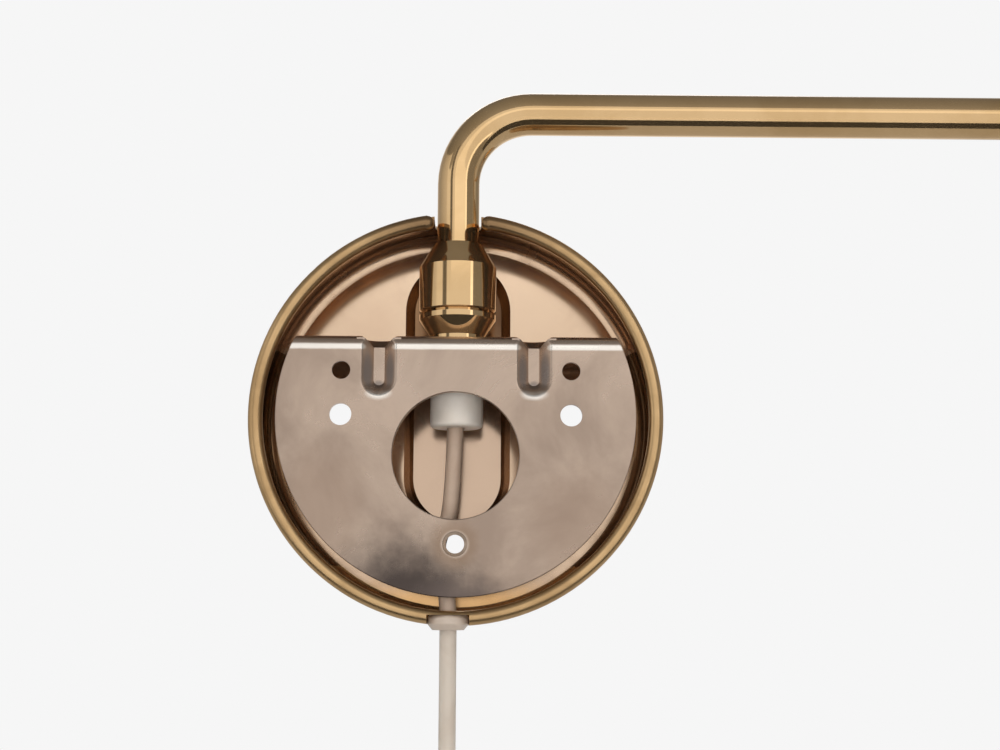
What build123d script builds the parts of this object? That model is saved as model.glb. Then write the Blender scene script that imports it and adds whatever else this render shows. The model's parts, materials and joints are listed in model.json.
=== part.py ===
from build123d import *
import math
import os

# Articulated wall lamp. Millimetres, +Z up. The wall is the plane y = 0, the room is at -Y, and the origin is
# the middle of the two wall screws. At rest the lower arm lies along the wall, towards -X, and the upper arm
# stands out from the wall, towards -Y.

# Arm tubes
TUBE_OD = 12.0
TUBE_WALL = 1.0
TUBE_BEND_R = 21.0
SWIVEL_FROM_WALL = 13.5
LOWER_ARM_HEIGHT = 89.0
LOWER_ARM_LENGTH = 330.0
UPPER_ARM_RISE = 58.0
UPPER_ARM_LENGTH = 240.0
UPPER_ARM_TIP_DROP = 28.0

# Wall cup
CUP_R = 56.5
CUP_DEPTH = 27.0
CUP_WALL = 1.0
CUP_BEAD_R = 2.0
CUP_BEAD_END_R = 2.1
CUP_CORNER_R = 4.8
POCKET_HALF_WIDTH = 15.2
POCKET_TOP = 33.5
POCKET_LOW = -15.0
POCKET_DEPTH = 3.0
POCKET_SLOPE = 2.6
POCKET_EDGE_R = 1.0
NOTCH_GAP = 0.5

# Mounting plate
PLATE_GAP = 3.5
PLATE_T = 1.5
PLATE_BEND_R = 3.3
FLANGE_TOP = 22.0
WIRE_HOLE_R = 17.2
WIRE_HOLE_Z = -11.0
SCREW_SPACING = 62.6
SCREW_HOLE_R = 3.0
SCREW_ACCESS_R = 8.2
SPARE_HOLE_R = 2.5
SPARE_HOLE_Z = 12.1
LOW_HOLE_R = 2.5
LOW_HOLE_Z = -34.8
LOW_HOLE_DIMPLE = 0.9
LOW_ACCESS_R = 3.6
RIB_X = 21.2
RIB_HALF_WIDTH = 4.7
RIB_DEPTH = 3.2
RIB_TAPER = 45.0
RIB_FOOT_Z = 5.2
RIB_REACH = 11.0
RIB_EDGE_R = 1.2
PLATE_EDGE_R = 0.3

# Swivel fittings, the same on the wall cup and on the elbow
SWIVEL_R = 10.9
SPIGOT_R = 9.0
SPIGOT_HEIGHT = 4.9
COLLAR_GAP = 0.8
COLLAR_HEIGHT = 13.0
COLLAR_CONE = 6.6
COLLAR_LIP_R = 6.9
SLEEVE_R = 8.6
SLEEVE_HEIGHT = 4.0
WASHER_T = 1.0
BUSH_HEIGHT = 8.0
SEAT_RING = 1.4
SEAT_TAPER = 4.7
SEAT_FOOT = 1.5
SEAT_FOOT_R = 8.0
SHANK_R = 5.0
SHANK_LENGTH = 13.0
LOCK_WASHER_T = 0.8
LOCK_WASHER_R = 8.5
LOCK_NUT_T = 4.0
LOCK_NUT_FLATS = 14.0
ELBOW_HALF_HEIGHT = 11.0
ELBOW_CAVITY_R = 8.0
ELBOW_WEB = 3.0
ELBOW_PLUG_T = 2.5
ELBOW_PLUG_DEPTH = 3.0
EDGE_R = 0.5

# Clearances
RUNNING_FIT = 0.05
SLIP_FIT = 0.05
MOVING_GAP = 0.3
CORD_FIT = 0.05
OVERCUT = 1.0
TOUCH = 0.01

# Cord and what holds it
CORD_D = 4.6
CORD_BORE_R = 2.6
CORD_FROM_WALL = 5.7
CORD_X = 1.7
CORD_JOINT_GAP = 0.45
CORD_ARC_SHARE = 0.45
ELBOW_CORD_BEND_R = 8.0
CUP_CORD_STRAIGHT = 22.3
CUP_CORD_BOW = 4.8
CUP_CORD_BOW_TOP = (10.6, 24.0)
CUP_CORD_BOW_LOW = (8.6, 18.5)
CUP_CORD_EXIT_RISE = 8.5
GRIP_R = 7.4
GRIP_BELOW_SHANK = 11.2
GRIP_EDGE_R = 1.2
GRIP_SCREW_R = 1.5
GRIP_SCREW_RISE = 5.0
GROMMET_R = 5.65
GROMMET_FOOT_R = 4.3
GROMMET_FLANGE = 1.1
GROMMET_INSIDE = 3.0
GROMMET_SAUCER = 1.6
GROMMET_LIP = 0.9
GROMMET_LIP_R = 4.9
GROMMET_EDGE_R = 0.7

# Head
KNUCKLE_R = 10.0
KNUCKLE_HALF = 7.0
KNUCKLE_WALL = 1.3
KNUCKLE_BOSS_R = 3.5
KNUCKLE_BORE_GAP = 1.0
KNUCKLE_NECK_R = 6.0
KNUCKLE_NECK = 7.0
KNUCKLE_SPIGOT = 8.0
KNUCKLE_GAP = 0.25
KNUCKLE_WASHER_T = 0.4
KNUCKLE_SCREW_R = 2.0
KNUCKLE_HEAD_R = 3.8
KNUCKLE_HEAD_T = 2.4
KNUCKLE_NUT_FLATS = 7.0
KNUCKLE_NUT_T = 3.2
NIPPLE_LENGTH = 11.0
COVER_R = 19.0
COVER_WALL = 0.8
COVER_SHOULDER_R = 6.0
COVER_HEIGHT = 35.6
HOLDER_CAP_R = 14.5
HOLDER_CAP_WALL = 2.0
HOLDER_FLANGE_R = 16.0
HOLDER_FLANGE_T = 7.0
HOLDER_SKIRT_R = 14.0
HOLDER_SKIRT = 26.0
SHELL_R = 7.6
SHELL_WALL = 0.4
SHELL_INSET = 2.0
CONTACT_R = 3.0
CONTACT_T = 1.2
SHADE_RING_R = 20.5
SHADE_RING_T = 6.0
SHADE_RING_EDGE_R = 2.0
SHADE_TOP_R = 22.0
SHADE_MOUTH_R = 65.0
SHADE_HEIGHT = 105.0
SHADE_SKIRT = 20.0
SHADE_WALL = 0.9
SHADE_BEAD_R = 1.4
BULB_CAP_R = 7.1
BULB_CAP_LENGTH = 24.0
BULB_R = 22.5
BULB_NECK_R = 9.0
BULB_NECK = 26.0
BULB_WALL = 1.0

# In-line switch on the cord
SWITCH_TOP = -100.0
SWITCH_LENGTH = 56.0
SWITCH_WIDTH = 26.0
SWITCH_CORNER_R = 9.0
SWITCH_BACK_GAP = 0.5
SWITCH_COVER_T = 10.8
SWITCH_EDGE_R = 2.0
SWITCH_SCREW_R = 1.6
SWITCH_SCREW_HEAD_R = 2.8
SWITCH_SCREW_HEAD_T = 1.6
SWITCH_SCREW_LENGTH = 8.5
SWITCH_SCREW_INSET = 7.0
ROCKER_HALF_LENGTH = 11.0
ROCKER_WIDTH = 12.0
ROCKER_AXIS_DEPTH = 4.0
ROCKER_RISE = 5.0
ROCKER_DIP = 3.0
ROCKER_HUB = 2.0
ROCKER_HUB_WALL = 2.0
ROCKER_TIP_RISE = 1.0
ROCKER_TILT = 8.0
ROCKER_PIN_R = 1.2
ROCKER_PIN_LENGTH = 1.6
ROCKER_WELL_GAP = 0.5
ROCKER_WELL_DEPTH = 7.4

# Put-away length of the cord: lead into the coil, coil, tie, tail and plug
LEAD_RUN = 30.0
LEAD_TURN = 50.0
COIL_OUTER_R = 33.0
COIL_PITCH = 5.9
COIL_LAYER_PITCH = 5.4
COIL_LAYERS = 4
COIL_LAYER_TURNS = 2
COIL_CLIMB_TURNS = 0.5
TAIL_LENGTH = 21.4
TIE_WIDTH = 6.0
TIE_T = 1.2
TIE_GAP = 0.4
TIE_CORNER_R = 3.0
PLUG_RELIEF = 20.0
PLUG_RELIEF_TIP_R = 3.4
PLUG_RELIEF_ROOT_R = 5.0
PLUG_LENGTH = 30.0
PLUG_SHOULDER = 14.0
PLUG_WIDTH = 35.0
PLUG_FACE_WIDTH = 32.0
PLUG_THICKNESS = 13.7
PLUG_NECK_WIDTH = 15.0
PLUG_NECK_THICKNESS = 10.5
PLUG_CORNER_R = 4.5
PIN_SPACING = 19.0
PIN_R = 2.0
PIN_LENGTH = 19.0
PIN_TIP_R = 1.4

# How finely the coil is laid out and measured
COIL_KNOTS_PER_TURN = 4
COIL_SLOPE_STEP = 0.02
COIL_SAMPLES = 1500
ROUNDING = 1e-9

# Places that follow from the sizes above
SWIVEL_Y = -SWIVEL_FROM_WALL
CORD_Y = -CORD_FROM_WALL
CORD_R = CORD_D / 2
TUBE_R = TUBE_OD / 2
TUBE_BORE_R = TUBE_R - TUBE_WALL
CUP_FLOOR = -CUP_DEPTH + CUP_WALL
PLATE_R = CUP_R - 2 * CUP_BEAD_R - PLATE_GAP
FLANGE_UNDER = FLANGE_TOP - PLATE_T
RING_TOP = FLANGE_TOP + SEAT_FOOT + SEAT_TAPER + SEAT_RING
SHANK_LOW = FLANGE_TOP - SHANK_LENGTH
NUT_TOP = FLANGE_UNDER - LOCK_WASHER_T
NUT_LOW = NUT_TOP - LOCK_NUT_T
GRIP_LOW = SHANK_LOW - GRIP_BELOW_SHANK
GROMMET_LOW = -CUP_R - GROMMET_FLANGE
GROMMET_TOP = -CUP_R + GROMMET_INSIDE
ELBOW_X = -LOWER_ARM_LENGTH
ELBOW_RING_TOP = LOWER_ARM_HEIGHT + ELBOW_HALF_HEIGHT
UPPER_ARM_HEIGHT = LOWER_ARM_HEIGHT + UPPER_ARM_RISE
HEAD_X = ELBOW_X
HEAD_Y = SWIVEL_Y - UPPER_ARM_LENGTH
TIP_LOW = UPPER_ARM_HEIGHT - UPPER_ARM_TIP_DROP
STEM_FROM_PIVOT = KNUCKLE_R + MOVING_GAP
BORE_FROM_PIVOT = KNUCKLE_BOSS_R + KNUCKLE_BORE_GAP
PIVOT_Z = TIP_LOW - KNUCKLE_NECK - STEM_FROM_PIVOT
COVER_TOP = PIVOT_Z - STEM_FROM_PIVOT - KNUCKLE_NECK
SHADE_TOP = COVER_TOP - COVER_HEIGHT
SHADE_LOW = SHADE_TOP - SHADE_HEIGHT
HOLDER_LOW = SHADE_TOP - HOLDER_SKIRT
SWITCH_LOW = SWITCH_TOP - SWITCH_LENGTH
SWITCH_MIDDLE = SWITCH_TOP - SWITCH_LENGTH / 2
SWITCH_FRONT = CORD_Y - SWITCH_COVER_T
ROCKER_Y = SWITCH_FRONT + ROCKER_AXIS_DEPTH
LEAD_X = LEAD_RUN * math.sin(math.radians(LEAD_TURN))
LEAD_Z = SWITCH_LOW - LEAD_RUN - LEAD_RUN * math.cos(math.radians(LEAD_TURN))
COIL_X = LEAD_X - COIL_OUTER_R * math.cos(math.radians(LEAD_TURN))
COIL_Z = LEAD_Z - COIL_OUTER_R * math.sin(math.radians(LEAD_TURN))
COIL_INNER_R = COIL_OUTER_R - COIL_LAYER_TURNS * COIL_PITCH
COIL_FRONT_Y = CORD_Y - (COIL_LAYERS - 1) * COIL_LAYER_PITCH
COIL_LAST_TURNS = COIL_LAYER_TURNS - COIL_CLIMB_TURNS + LEAD_TURN / 360
TAIL_X = COIL_X + COIL_INNER_R + COIL_LAST_TURNS * COIL_PITCH
TAIL_TOP = COIL_Z - CORD_D
PLUG_TOP = TAIL_TOP - TAIL_LENGTH
PLUG_BODY_TOP = PLUG_TOP - PLUG_RELIEF
PLUG_FACE = PLUG_BODY_TOP - PLUG_LENGTH


def rod(radius, low, high, x=0.0, y=SWIVEL_Y):
    """Upright cylinder."""
    return Pos(x, y, low) * Cylinder(radius, high - low, align=(Align.CENTER, Align.CENTER, Align.MIN))


def rod_along_y(radius, front, back, x, z):
    """Cylinder square to the wall."""
    bar = Cylinder(radius, back - front, align=(Align.CENTER, Align.CENTER, Align.MIN))
    return Pos(x, back, z) * Rot(90, 0, 0) * bar


def rod_along_x(radius, low, high, y, z):
    """Cylinder parallel to the wall and level."""
    bar = Cylinder(radius, high - low, align=(Align.CENTER, Align.CENTER, Align.MIN))
    return Pos(low, y, z) * Rot(0, 90, 0) * bar


def block(low, high):
    """Box between two corners."""
    sides = [b - a for a, b in zip(low, high)]
    return Pos(*low) * Box(*sides, align=(Align.MIN, Align.MIN, Align.MIN))


def ring(radius, bore_r, low, high, x=0.0, y=SWIVEL_Y):
    """Upright cylinder with a bore right through it."""
    return rod(radius, low, high, x, y) - rod(bore_r, low - OVERCUT, high + OVERCUT, x, y)


def turned(outline, x=0.0, y=SWIVEL_Y):
    """Solid of revolution about an upright axis, from (radius, height) points."""
    profile = make_face(Polyline(*[(r, 0, z) for r, z in outline], close=True))
    return Pos(x, y, 0) * revolve(profile, Axis.Z)


def hexagon(flats, low, high, x, y):
    """Upright hexagonal prism."""
    side_r = flats / math.sqrt(3)
    return Pos(x, y, low) * extrude(RegularPolygon(side_r, 6), high - low)


def swept(path, radius):
    """Round bar along a path."""
    return sweep(Plane(path @ 0, z_dir=path % 0) * Circle(radius), path=path)


def pipe(path):
    """Arm tube along a path."""
    return swept(path, TUBE_R) - swept(path, TUBE_BORE_R)


def cord_path(points):
    """Straight runs joined by the largest arcs that the runs leave room for."""
    corners = [Vector(*p) for p in points]
    radii = []
    for before, corner, after in zip(corners, corners[1:], corners[2:]):
        run_in, run_out = corner - before, after - corner
        half_turn = math.radians(run_in.get_angle(run_out)) / 2
        radii.append(CORD_ARC_SHARE * min(run_in.length, run_out.length) / math.tan(half_turn))
    print("cord radii", [round(r, 1) for r in radii])
    return FilletPolyline(*corners, radius=radii)


def check_volume(name, solid, length):
    """Print a cord's volume beside its section times its length."""
    print(name, "length", round(length, 1), "volume ratio",
          round(solid.volume / (math.pi * CORD_R ** 2 * length), 4))
    return solid


# Wall cup and mounting plate

def stadium(half_width, y):
    """Upright slot outline in a plane parallel to the wall."""
    plane = Plane(origin=(0, y, (POCKET_TOP + POCKET_LOW) / 2), x_dir=(0, 0, 1), z_dir=(0, -1, 0))
    return plane * SlotCenterToCenter(POCKET_TOP - POCKET_LOW, 2 * half_width)


def cup_shell():
    """Turned shell of the cup, with its rolled rim."""
    wall_r = CUP_R - CUP_WALL
    bead_mid = CUP_R - CUP_BEAD_R
    corner_x = CUP_R - CUP_CORNER_R
    corner_y = -CUP_DEPTH + CUP_CORNER_R
    edges = [
        Line((0, -CUP_DEPTH), (corner_x, -CUP_DEPTH)),
        TangentArc((corner_x, -CUP_DEPTH), (CUP_R, corner_y), tangent=(1, 0)),
        Line((CUP_R, corner_y), (CUP_R, -CUP_BEAD_R)),
        ThreePointArc((CUP_R, -CUP_BEAD_R), (bead_mid, 0), (CUP_R - 2 * CUP_BEAD_R, -CUP_BEAD_R)),
        TangentArc((CUP_R - 2 * CUP_BEAD_R, -CUP_BEAD_R), (bead_mid, -2 * CUP_BEAD_R), tangent=(0, -1)),
        Line((bead_mid, -2 * CUP_BEAD_R), (wall_r, -2 * CUP_BEAD_R)),
        Line((wall_r, -2 * CUP_BEAD_R), (wall_r, corner_y)),
        TangentArc((wall_r, corner_y), (corner_x, CUP_FLOOR), tangent=(0, -1)),
        Line((corner_x, CUP_FLOOR), (0, CUP_FLOOR)),
        Line((0, CUP_FLOOR), (0, -CUP_DEPTH)),
    ]
    return revolve(make_face(edges), Axis.Y)


def wall_cup():
    """Spun cup with the pressed pocket, the notch for the arm and the holes."""
    slant = math.hypot(POCKET_DEPTH, POCKET_SLOPE)
    skin = CUP_WALL * (slant - POCKET_SLOPE) / POCKET_DEPTH
    pad_y = -CUP_DEPTH - POCKET_DEPTH
    pad = loft([stadium(POCKET_HALF_WIDTH + skin, -CUP_DEPTH),
                stadium(POCKET_HALF_WIDTH + skin - POCKET_SLOPE, pad_y)])
    pad = fillet(pad.faces().sort_by(Axis.Y)[0].edges(), POCKET_EDGE_R)
    hollow = loft([stadium(POCKET_HALF_WIDTH, CUP_FLOOR),
                   stadium(POCKET_HALF_WIDTH - POCKET_SLOPE, CUP_FLOOR - POCKET_DEPTH)])
    shell = cup_shell() + pad - hollow
    notch_r = TUBE_R + NOTCH_GAP
    notch_low = CUP_R - 4 * CUP_BEAD_R
    shell -= rod(notch_r, notch_low, CUP_R + OVERCUT)
    shell -= block((-notch_r, SWIVEL_Y, notch_low), (notch_r, OVERCUT, CUP_R + OVERCUT))
    bead_end = notch_r + CUP_BEAD_END_R
    end_z = math.sqrt((CUP_R - CUP_BEAD_END_R) ** 2 - bead_end ** 2)
    shell -= block((-bead_end, -2 * CUP_BEAD_R, notch_low), (bead_end, OVERCUT, CUP_R + OVERCUT))
    for side in (-1, 1):
        ball = Rot(0, 0, 90 + 90 * side) * Sphere(CUP_BEAD_END_R)
        shell += Pos(side * bead_end, -CUP_BEAD_END_R, end_z) * ball
    for x in (-SCREW_SPACING / 2, SCREW_SPACING / 2):
        shell -= rod_along_y(SCREW_ACCESS_R, pad_y - OVERCUT, CUP_FLOOR + OVERCUT, x, 0)
    shell -= rod_along_y(LOW_ACCESS_R, pad_y - OVERCUT, CUP_FLOOR + OVERCUT, 0, LOW_HOLE_Z)
    seat_r = GROMMET_R + SLIP_FIT
    seat_low = -CUP_R - OVERCUT
    shell -= rod(seat_r, seat_low, GROMMET_TOP, CORD_X, CORD_Y)
    shell -= block((CORD_X - seat_r, CORD_Y, seat_low), (CORD_X + seat_r, OVERCUT, GROMMET_TOP))
    return shell - rod(CORD_BORE_R, seat_low, GROMMET_TOP + 2 * CUP_BEAD_R, CORD_X, CORD_Y)


def rib_bar(side, skin):
    """Channel that a rib is pressed with, up the plate's back and along its flange."""
    half_width = RIB_HALF_WIDTH + skin / math.cos(math.radians(RIB_TAPER))
    run_out = 2 * RIB_HALF_WIDTH
    low = RIB_FOOT_Z + RIB_HALF_WIDTH
    high = FLANGE_TOP + run_out
    front = -RIB_REACH + RIB_HALF_WIDTH
    back_plane = Plane(origin=(side * RIB_X, 0, (low + high) / 2), x_dir=(0, 0, 1), z_dir=(0, -1, 0))
    top_plane = Plane(origin=(side * RIB_X, (front + run_out) / 2, FLANGE_TOP), x_dir=(0, 1, 0),
                      z_dir=(0, 0, -1))
    upright, level = (
        extrude(plane * SlotCenterToCenter(length, 2 * half_width), RIB_DEPTH + skin, taper=RIB_TAPER)
        for plane, length in ((back_plane, high - low), (top_plane, run_out - front)))
    return upright + level


def on_wall(edge):
    """Whether an edge lies in the wall plane."""
    return all(abs((edge @ share).Y) < TOUCH for share in (0, 0.5, 1))


def rib_edges(plate):
    """Edges that the ribs cut in the plate's back, its bend and its flange."""
    bend_z = FLANGE_TOP - PLATE_BEND_R
    found = []
    for edge in plate.edges():
        middle = edge @ 0.5
        if middle.Z > bend_z and middle.Y > -PLATE_BEND_R:
            depth = PLATE_BEND_R - math.hypot(middle.Y + PLATE_BEND_R, middle.Z - bend_z)
        else:
            depth = min(-middle.Y, FLANGE_TOP - middle.Z)
        by_rib = abs(abs(middle.X) - RIB_X) < RIB_HALF_WIDTH + TOUCH and middle.Z > RIB_FOOT_Z - TOUCH
        if by_rib and depth < TOUCH:
            found.append(edge)
    return found


def mounting_plate():
    """D-shaped plate with its forward flange, ribs and holes."""
    bend_z = FLANGE_TOP - PLATE_BEND_R
    edges = [
        Line((0, 0, -PLATE_R), (0, 0, bend_z)),
        TangentArc((0, 0, bend_z), (0, -PLATE_BEND_R, FLANGE_TOP), tangent=(0, 0, 1)),
        Line((0, -PLATE_BEND_R, FLANGE_TOP), (0, CUP_FLOOR, FLANGE_TOP)),
        Line((0, CUP_FLOOR, FLANGE_TOP), (0, CUP_FLOOR, FLANGE_UNDER)),
        Line((0, CUP_FLOOR, FLANGE_UNDER), (0, -PLATE_BEND_R, FLANGE_UNDER)),
        TangentArc((0, -PLATE_BEND_R, FLANGE_UNDER), (0, -PLATE_T, bend_z), tangent=(0, 1, 0)),
        Line((0, -PLATE_T, bend_z), (0, -PLATE_T, -PLATE_R)),
        Line((0, -PLATE_T, -PLATE_R), (0, 0, -PLATE_R)),
    ]
    sheet = extrude(make_face(edges), PLATE_R, dir=(1, 0, 0), both=True)
    plate = sheet & rod_along_y(PLATE_R, CUP_FLOOR, 0, 0, 0)
    inside = block((-PLATE_R, CUP_FLOOR, -PLATE_R), (PLATE_R, -PLATE_T / 2, FLANGE_TOP - PLATE_T / 2))
    for side in (-1, 1):
        plate += rib_bar(side, PLATE_T) & inside
        plate -= rib_bar(side, 0)
    plate -= rod_along_y(WIRE_HOLE_R, -2 * PLATE_T, PLATE_T, 0, WIRE_HOLE_Z)
    for x in (-SCREW_SPACING / 2, SCREW_SPACING / 2):
        plate -= rod_along_y(SCREW_HOLE_R, -2 * PLATE_T, PLATE_T, x, 0)
        plate -= rod_along_y(SPARE_HOLE_R, -2 * PLATE_T, PLATE_T, x, SPARE_HOLE_Z)
    plate -= rod_along_y(LOW_HOLE_R, -2 * PLATE_T, PLATE_T, 0, LOW_HOLE_Z)
    dimple = Cone(LOW_HOLE_R, LOW_HOLE_R + LOW_HOLE_DIMPLE, LOW_HOLE_DIMPLE,
                  align=(Align.CENTER, Align.CENTER, Align.MIN))
    plate -= Pos(0, -LOW_HOLE_DIMPLE, LOW_HOLE_Z) * Rot(-90, 0, 0) * dimple
    plate -= rod(SHANK_R + SLIP_FIT, FLANGE_UNDER - OVERCUT, FLANGE_TOP + OVERCUT)
    plate = fillet(rib_edges(plate), RIB_EDGE_R)
    rims = [edge for edge in plate.edges().filter_by(GeomType.CIRCLE)
            if on_wall(edge) and edge.radius > WIRE_HOLE_R / 2]
    return fillet(rims, PLATE_EDGE_R)


# Swivel fittings

def spigot(ring_top, x):
    """Upper end of a seat, inside the collar."""
    return rod(SPIGOT_R, ring_top - SEAT_RING / 2, ring_top + SPIGOT_HEIGHT, x)


def swivel_seat():
    """Turned seat with a hollow shank, standing on the plate's flange."""
    foot_top = FLANGE_TOP + SEAT_FOOT
    seat = turned([
        (0, SHANK_LOW), (SHANK_R, SHANK_LOW), (SHANK_R, FLANGE_TOP), (SEAT_FOOT_R, FLANGE_TOP),
        (SEAT_FOOT_R, foot_top), (SWIVEL_R, foot_top + SEAT_TAPER), (SWIVEL_R, RING_TOP), (0, RING_TOP)])
    seat += spigot(RING_TOP, 0)
    return seat - rod(CORD_BORE_R, SHANK_LOW - OVERCUT, RING_TOP + SPIGOT_HEIGHT + OVERCUT)


def elbow_seat():
    """Hollow barrel on the end of the lower arm, with the same upper end as the wall seat."""
    low = LOWER_ARM_HEIGHT - ELBOW_HALF_HEIGHT
    seat = rod(SWIVEL_R, low, ELBOW_RING_TOP, ELBOW_X) + spigot(ELBOW_RING_TOP, ELBOW_X)
    seat -= rod(ELBOW_CAVITY_R, low - OVERCUT, ELBOW_RING_TOP - ELBOW_WEB, ELBOW_X)
    seat -= rod(CORD_BORE_R, low, ELBOW_RING_TOP + SPIGOT_HEIGHT + OVERCUT, ELBOW_X)
    socket_end = ELBOW_X + 2 * SWIVEL_R
    return seat - rod_along_x(TUBE_R + SLIP_FIT, ELBOW_X, socket_end, SWIVEL_Y, LOWER_ARM_HEIGHT)


def elbow_plug():
    """Screwed cover under the elbow, for wiring."""
    low = LOWER_ARM_HEIGHT - ELBOW_HALF_HEIGHT
    rim = fillet(rod(SWIVEL_R, low - ELBOW_PLUG_T, low, ELBOW_X).edges().sort_by(Axis.Z)[0], EDGE_R)
    return rim + rod(ELBOW_CAVITY_R - SLIP_FIT, low, low + ELBOW_PLUG_DEPTH, ELBOW_X)


def tube_end(ring_top):
    """Height of an arm tube's lower end in its swivel."""
    return ring_top + SPIGOT_HEIGHT + WASHER_T + RUNNING_FIT


def collar(ring_top, x):
    """Collar that screws on the spigot and keeps the arm's sleeve in."""
    low = ring_top + COLLAR_GAP
    shoulder = tube_end(ring_top) + SLEEVE_HEIGHT + RUNNING_FIT + WASHER_T
    body_top = low + COLLAR_HEIGHT
    bore_r = TUBE_R + RUNNING_FIT
    thread_r = SPIGOT_R + SLIP_FIT
    return turned([
        (thread_r, low), (SWIVEL_R - EDGE_R, low), (SWIVEL_R, low + EDGE_R), (SWIVEL_R, body_top),
        (COLLAR_LIP_R, body_top + COLLAR_CONE), (bore_r, body_top + COLLAR_CONE),
        (bore_r, shoulder), (thread_r, shoulder)], x)


def washer_low(ring_top, x):
    """Washer that the arm's sleeve turns on."""
    low = ring_top + SPIGOT_HEIGHT
    return ring(SLEEVE_R, CORD_BORE_R, low, low + WASHER_T, x)


def washer_high(ring_top, x):
    """Washer between the arm's sleeve and the collar."""
    low = tube_end(ring_top) + SLEEVE_HEIGHT + RUNNING_FIT
    return ring(SLEEVE_R, TUBE_R + RUNNING_FIT, low, low + WASHER_T, x)


def sleeve(ring_top, x):
    """Ring soldered on the lower end of an arm tube."""
    low = tube_end(ring_top)
    return ring(SLEEVE_R, TUBE_R + SLIP_FIT, low, low + SLEEVE_HEIGHT, x)


def bush(ring_top, x):
    """Nylon bush in the lower end of an arm tube, where the cord enters."""
    low = tube_end(ring_top)
    return ring(TUBE_BORE_R - SLIP_FIT, CORD_R + CORD_FIT, low, low + BUSH_HEIGHT, x)


def seat_lock_washer():
    """Washer under the flange."""
    return ring(LOCK_WASHER_R, SHANK_R + SLIP_FIT, NUT_TOP, FLANGE_UNDER)


def seat_lock_nut():
    """Nut that clamps the seat on the flange."""
    nut = hexagon(LOCK_NUT_FLATS, NUT_LOW, NUT_TOP, 0, SWIVEL_Y)
    return nut - rod(SHANK_R + SLIP_FIT, NUT_LOW - OVERCUT, NUT_TOP + OVERCUT)


# Cord inside the cup and arms

def cord_grip():
    """Strain relief screwed on the end of the shank."""
    grip = rod(GRIP_R, GRIP_LOW, NUT_LOW)
    grip = fillet(grip.edges().sort_by(Axis.Z)[0], GRIP_EDGE_R)
    grip -= rod(SHANK_R + SLIP_FIT, SHANK_LOW - SLIP_FIT, NUT_LOW + OVERCUT)
    grip -= rod(CORD_R + CORD_FIT, GRIP_LOW - OVERCUT, SHANK_LOW)
    return grip - rod_along_x(GRIP_SCREW_R + SLIP_FIT, 0, 2 * GRIP_R, SWIVEL_Y, GRIP_LOW + GRIP_SCREW_RISE)


def cord_grip_screw():
    """Grub screw that pinches the cord."""
    return rod_along_x(GRIP_SCREW_R, CORD_R + CORD_FIT, GRIP_R, SWIVEL_Y, GRIP_LOW + GRIP_SCREW_RISE)


def cup_cord():
    """Cord from the swivel to the grommet, bowed clear of the plate's low hole."""
    top = RING_TOP + SPIGOT_HEIGHT + WASHER_T - CORD_JOINT_GAP
    bow = [(CUP_CORD_BOW, -from_wall, -CUP_R + rise)
           for from_wall, rise in (CUP_CORD_BOW_TOP, CUP_CORD_BOW_LOW)]
    path = cord_path([
        (0, SWIVEL_Y, top), (0, SWIVEL_Y, GRIP_LOW - CUP_CORD_STRAIGHT), *bow,
        (CORD_X, CORD_Y, -CUP_R + CUP_CORD_EXIT_RISE), (CORD_X, CORD_Y, GROMMET_LOW)])
    return check_volume("cup_cord", swept(path, CORD_R), path.length)


def exit_grommet():
    """Grommet seated in the rim where the cord leaves."""
    bore_r = CORD_R + CORD_FIT
    body = turned([
        (bore_r, GROMMET_LOW), (GROMMET_FOOT_R, GROMMET_LOW), (GROMMET_R, GROMMET_LOW + GROMMET_SAUCER),
        (GROMMET_R, GROMMET_TOP - GROMMET_LIP), (GROMMET_LIP_R, GROMMET_TOP), (bore_r, GROMMET_TOP)],
        y=CORD_Y)
    return fillet(body.edges().filter_by(GeomType.CIRCLE).sort_by(SortBy.RADIUS)[-3:], GROMMET_EDGE_R)


def lower_arm_path(low, end_x):
    """Centre line of the lower arm."""
    return FilletPolyline((0, SWIVEL_Y, low), (0, SWIVEL_Y, LOWER_ARM_HEIGHT),
                          (end_x, SWIVEL_Y, LOWER_ARM_HEIGHT), radius=TUBE_BEND_R)


def lower_arm_tube():
    """Bent tube of the lower arm."""
    return pipe(lower_arm_path(tube_end(RING_TOP), ELBOW_X + ELBOW_CAVITY_R))


def lower_arm_cord():
    """Cord through the lower arm, up to the elbow."""
    top = ELBOW_RING_TOP + SPIGOT_HEIGHT + WASHER_T - CORD_JOINT_GAP
    path = FilletPolyline(
        (0, SWIVEL_Y, tube_end(RING_TOP)), (0, SWIVEL_Y, LOWER_ARM_HEIGHT),
        (ELBOW_X, SWIVEL_Y, LOWER_ARM_HEIGHT), (ELBOW_X, SWIVEL_Y, top),
        radius=[TUBE_BEND_R, ELBOW_CORD_BEND_R])
    return check_volume("lower_arm_cord", swept(path, CORD_R), path.length)


def upper_arm_path(low_end):
    """Centre line of the upper arm, from its swivel to its tip."""
    return FilletPolyline(
        (ELBOW_X, SWIVEL_Y, tube_end(ELBOW_RING_TOP)), (ELBOW_X, SWIVEL_Y, UPPER_ARM_HEIGHT),
        (HEAD_X, HEAD_Y, UPPER_ARM_HEIGHT), (HEAD_X, HEAD_Y, low_end), radius=TUBE_BEND_R)


def upper_arm_tube():
    """Bent tube of the upper arm."""
    return pipe(upper_arm_path(TIP_LOW))


def upper_arm_cord():
    """Cord through the upper arm, into the knuckle."""
    path = upper_arm_path(PIVOT_Z + STEM_FROM_PIVOT)
    return check_volume("upper_arm_cord", swept(path, CORD_R), path.length)


# Knuckle and head

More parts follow.
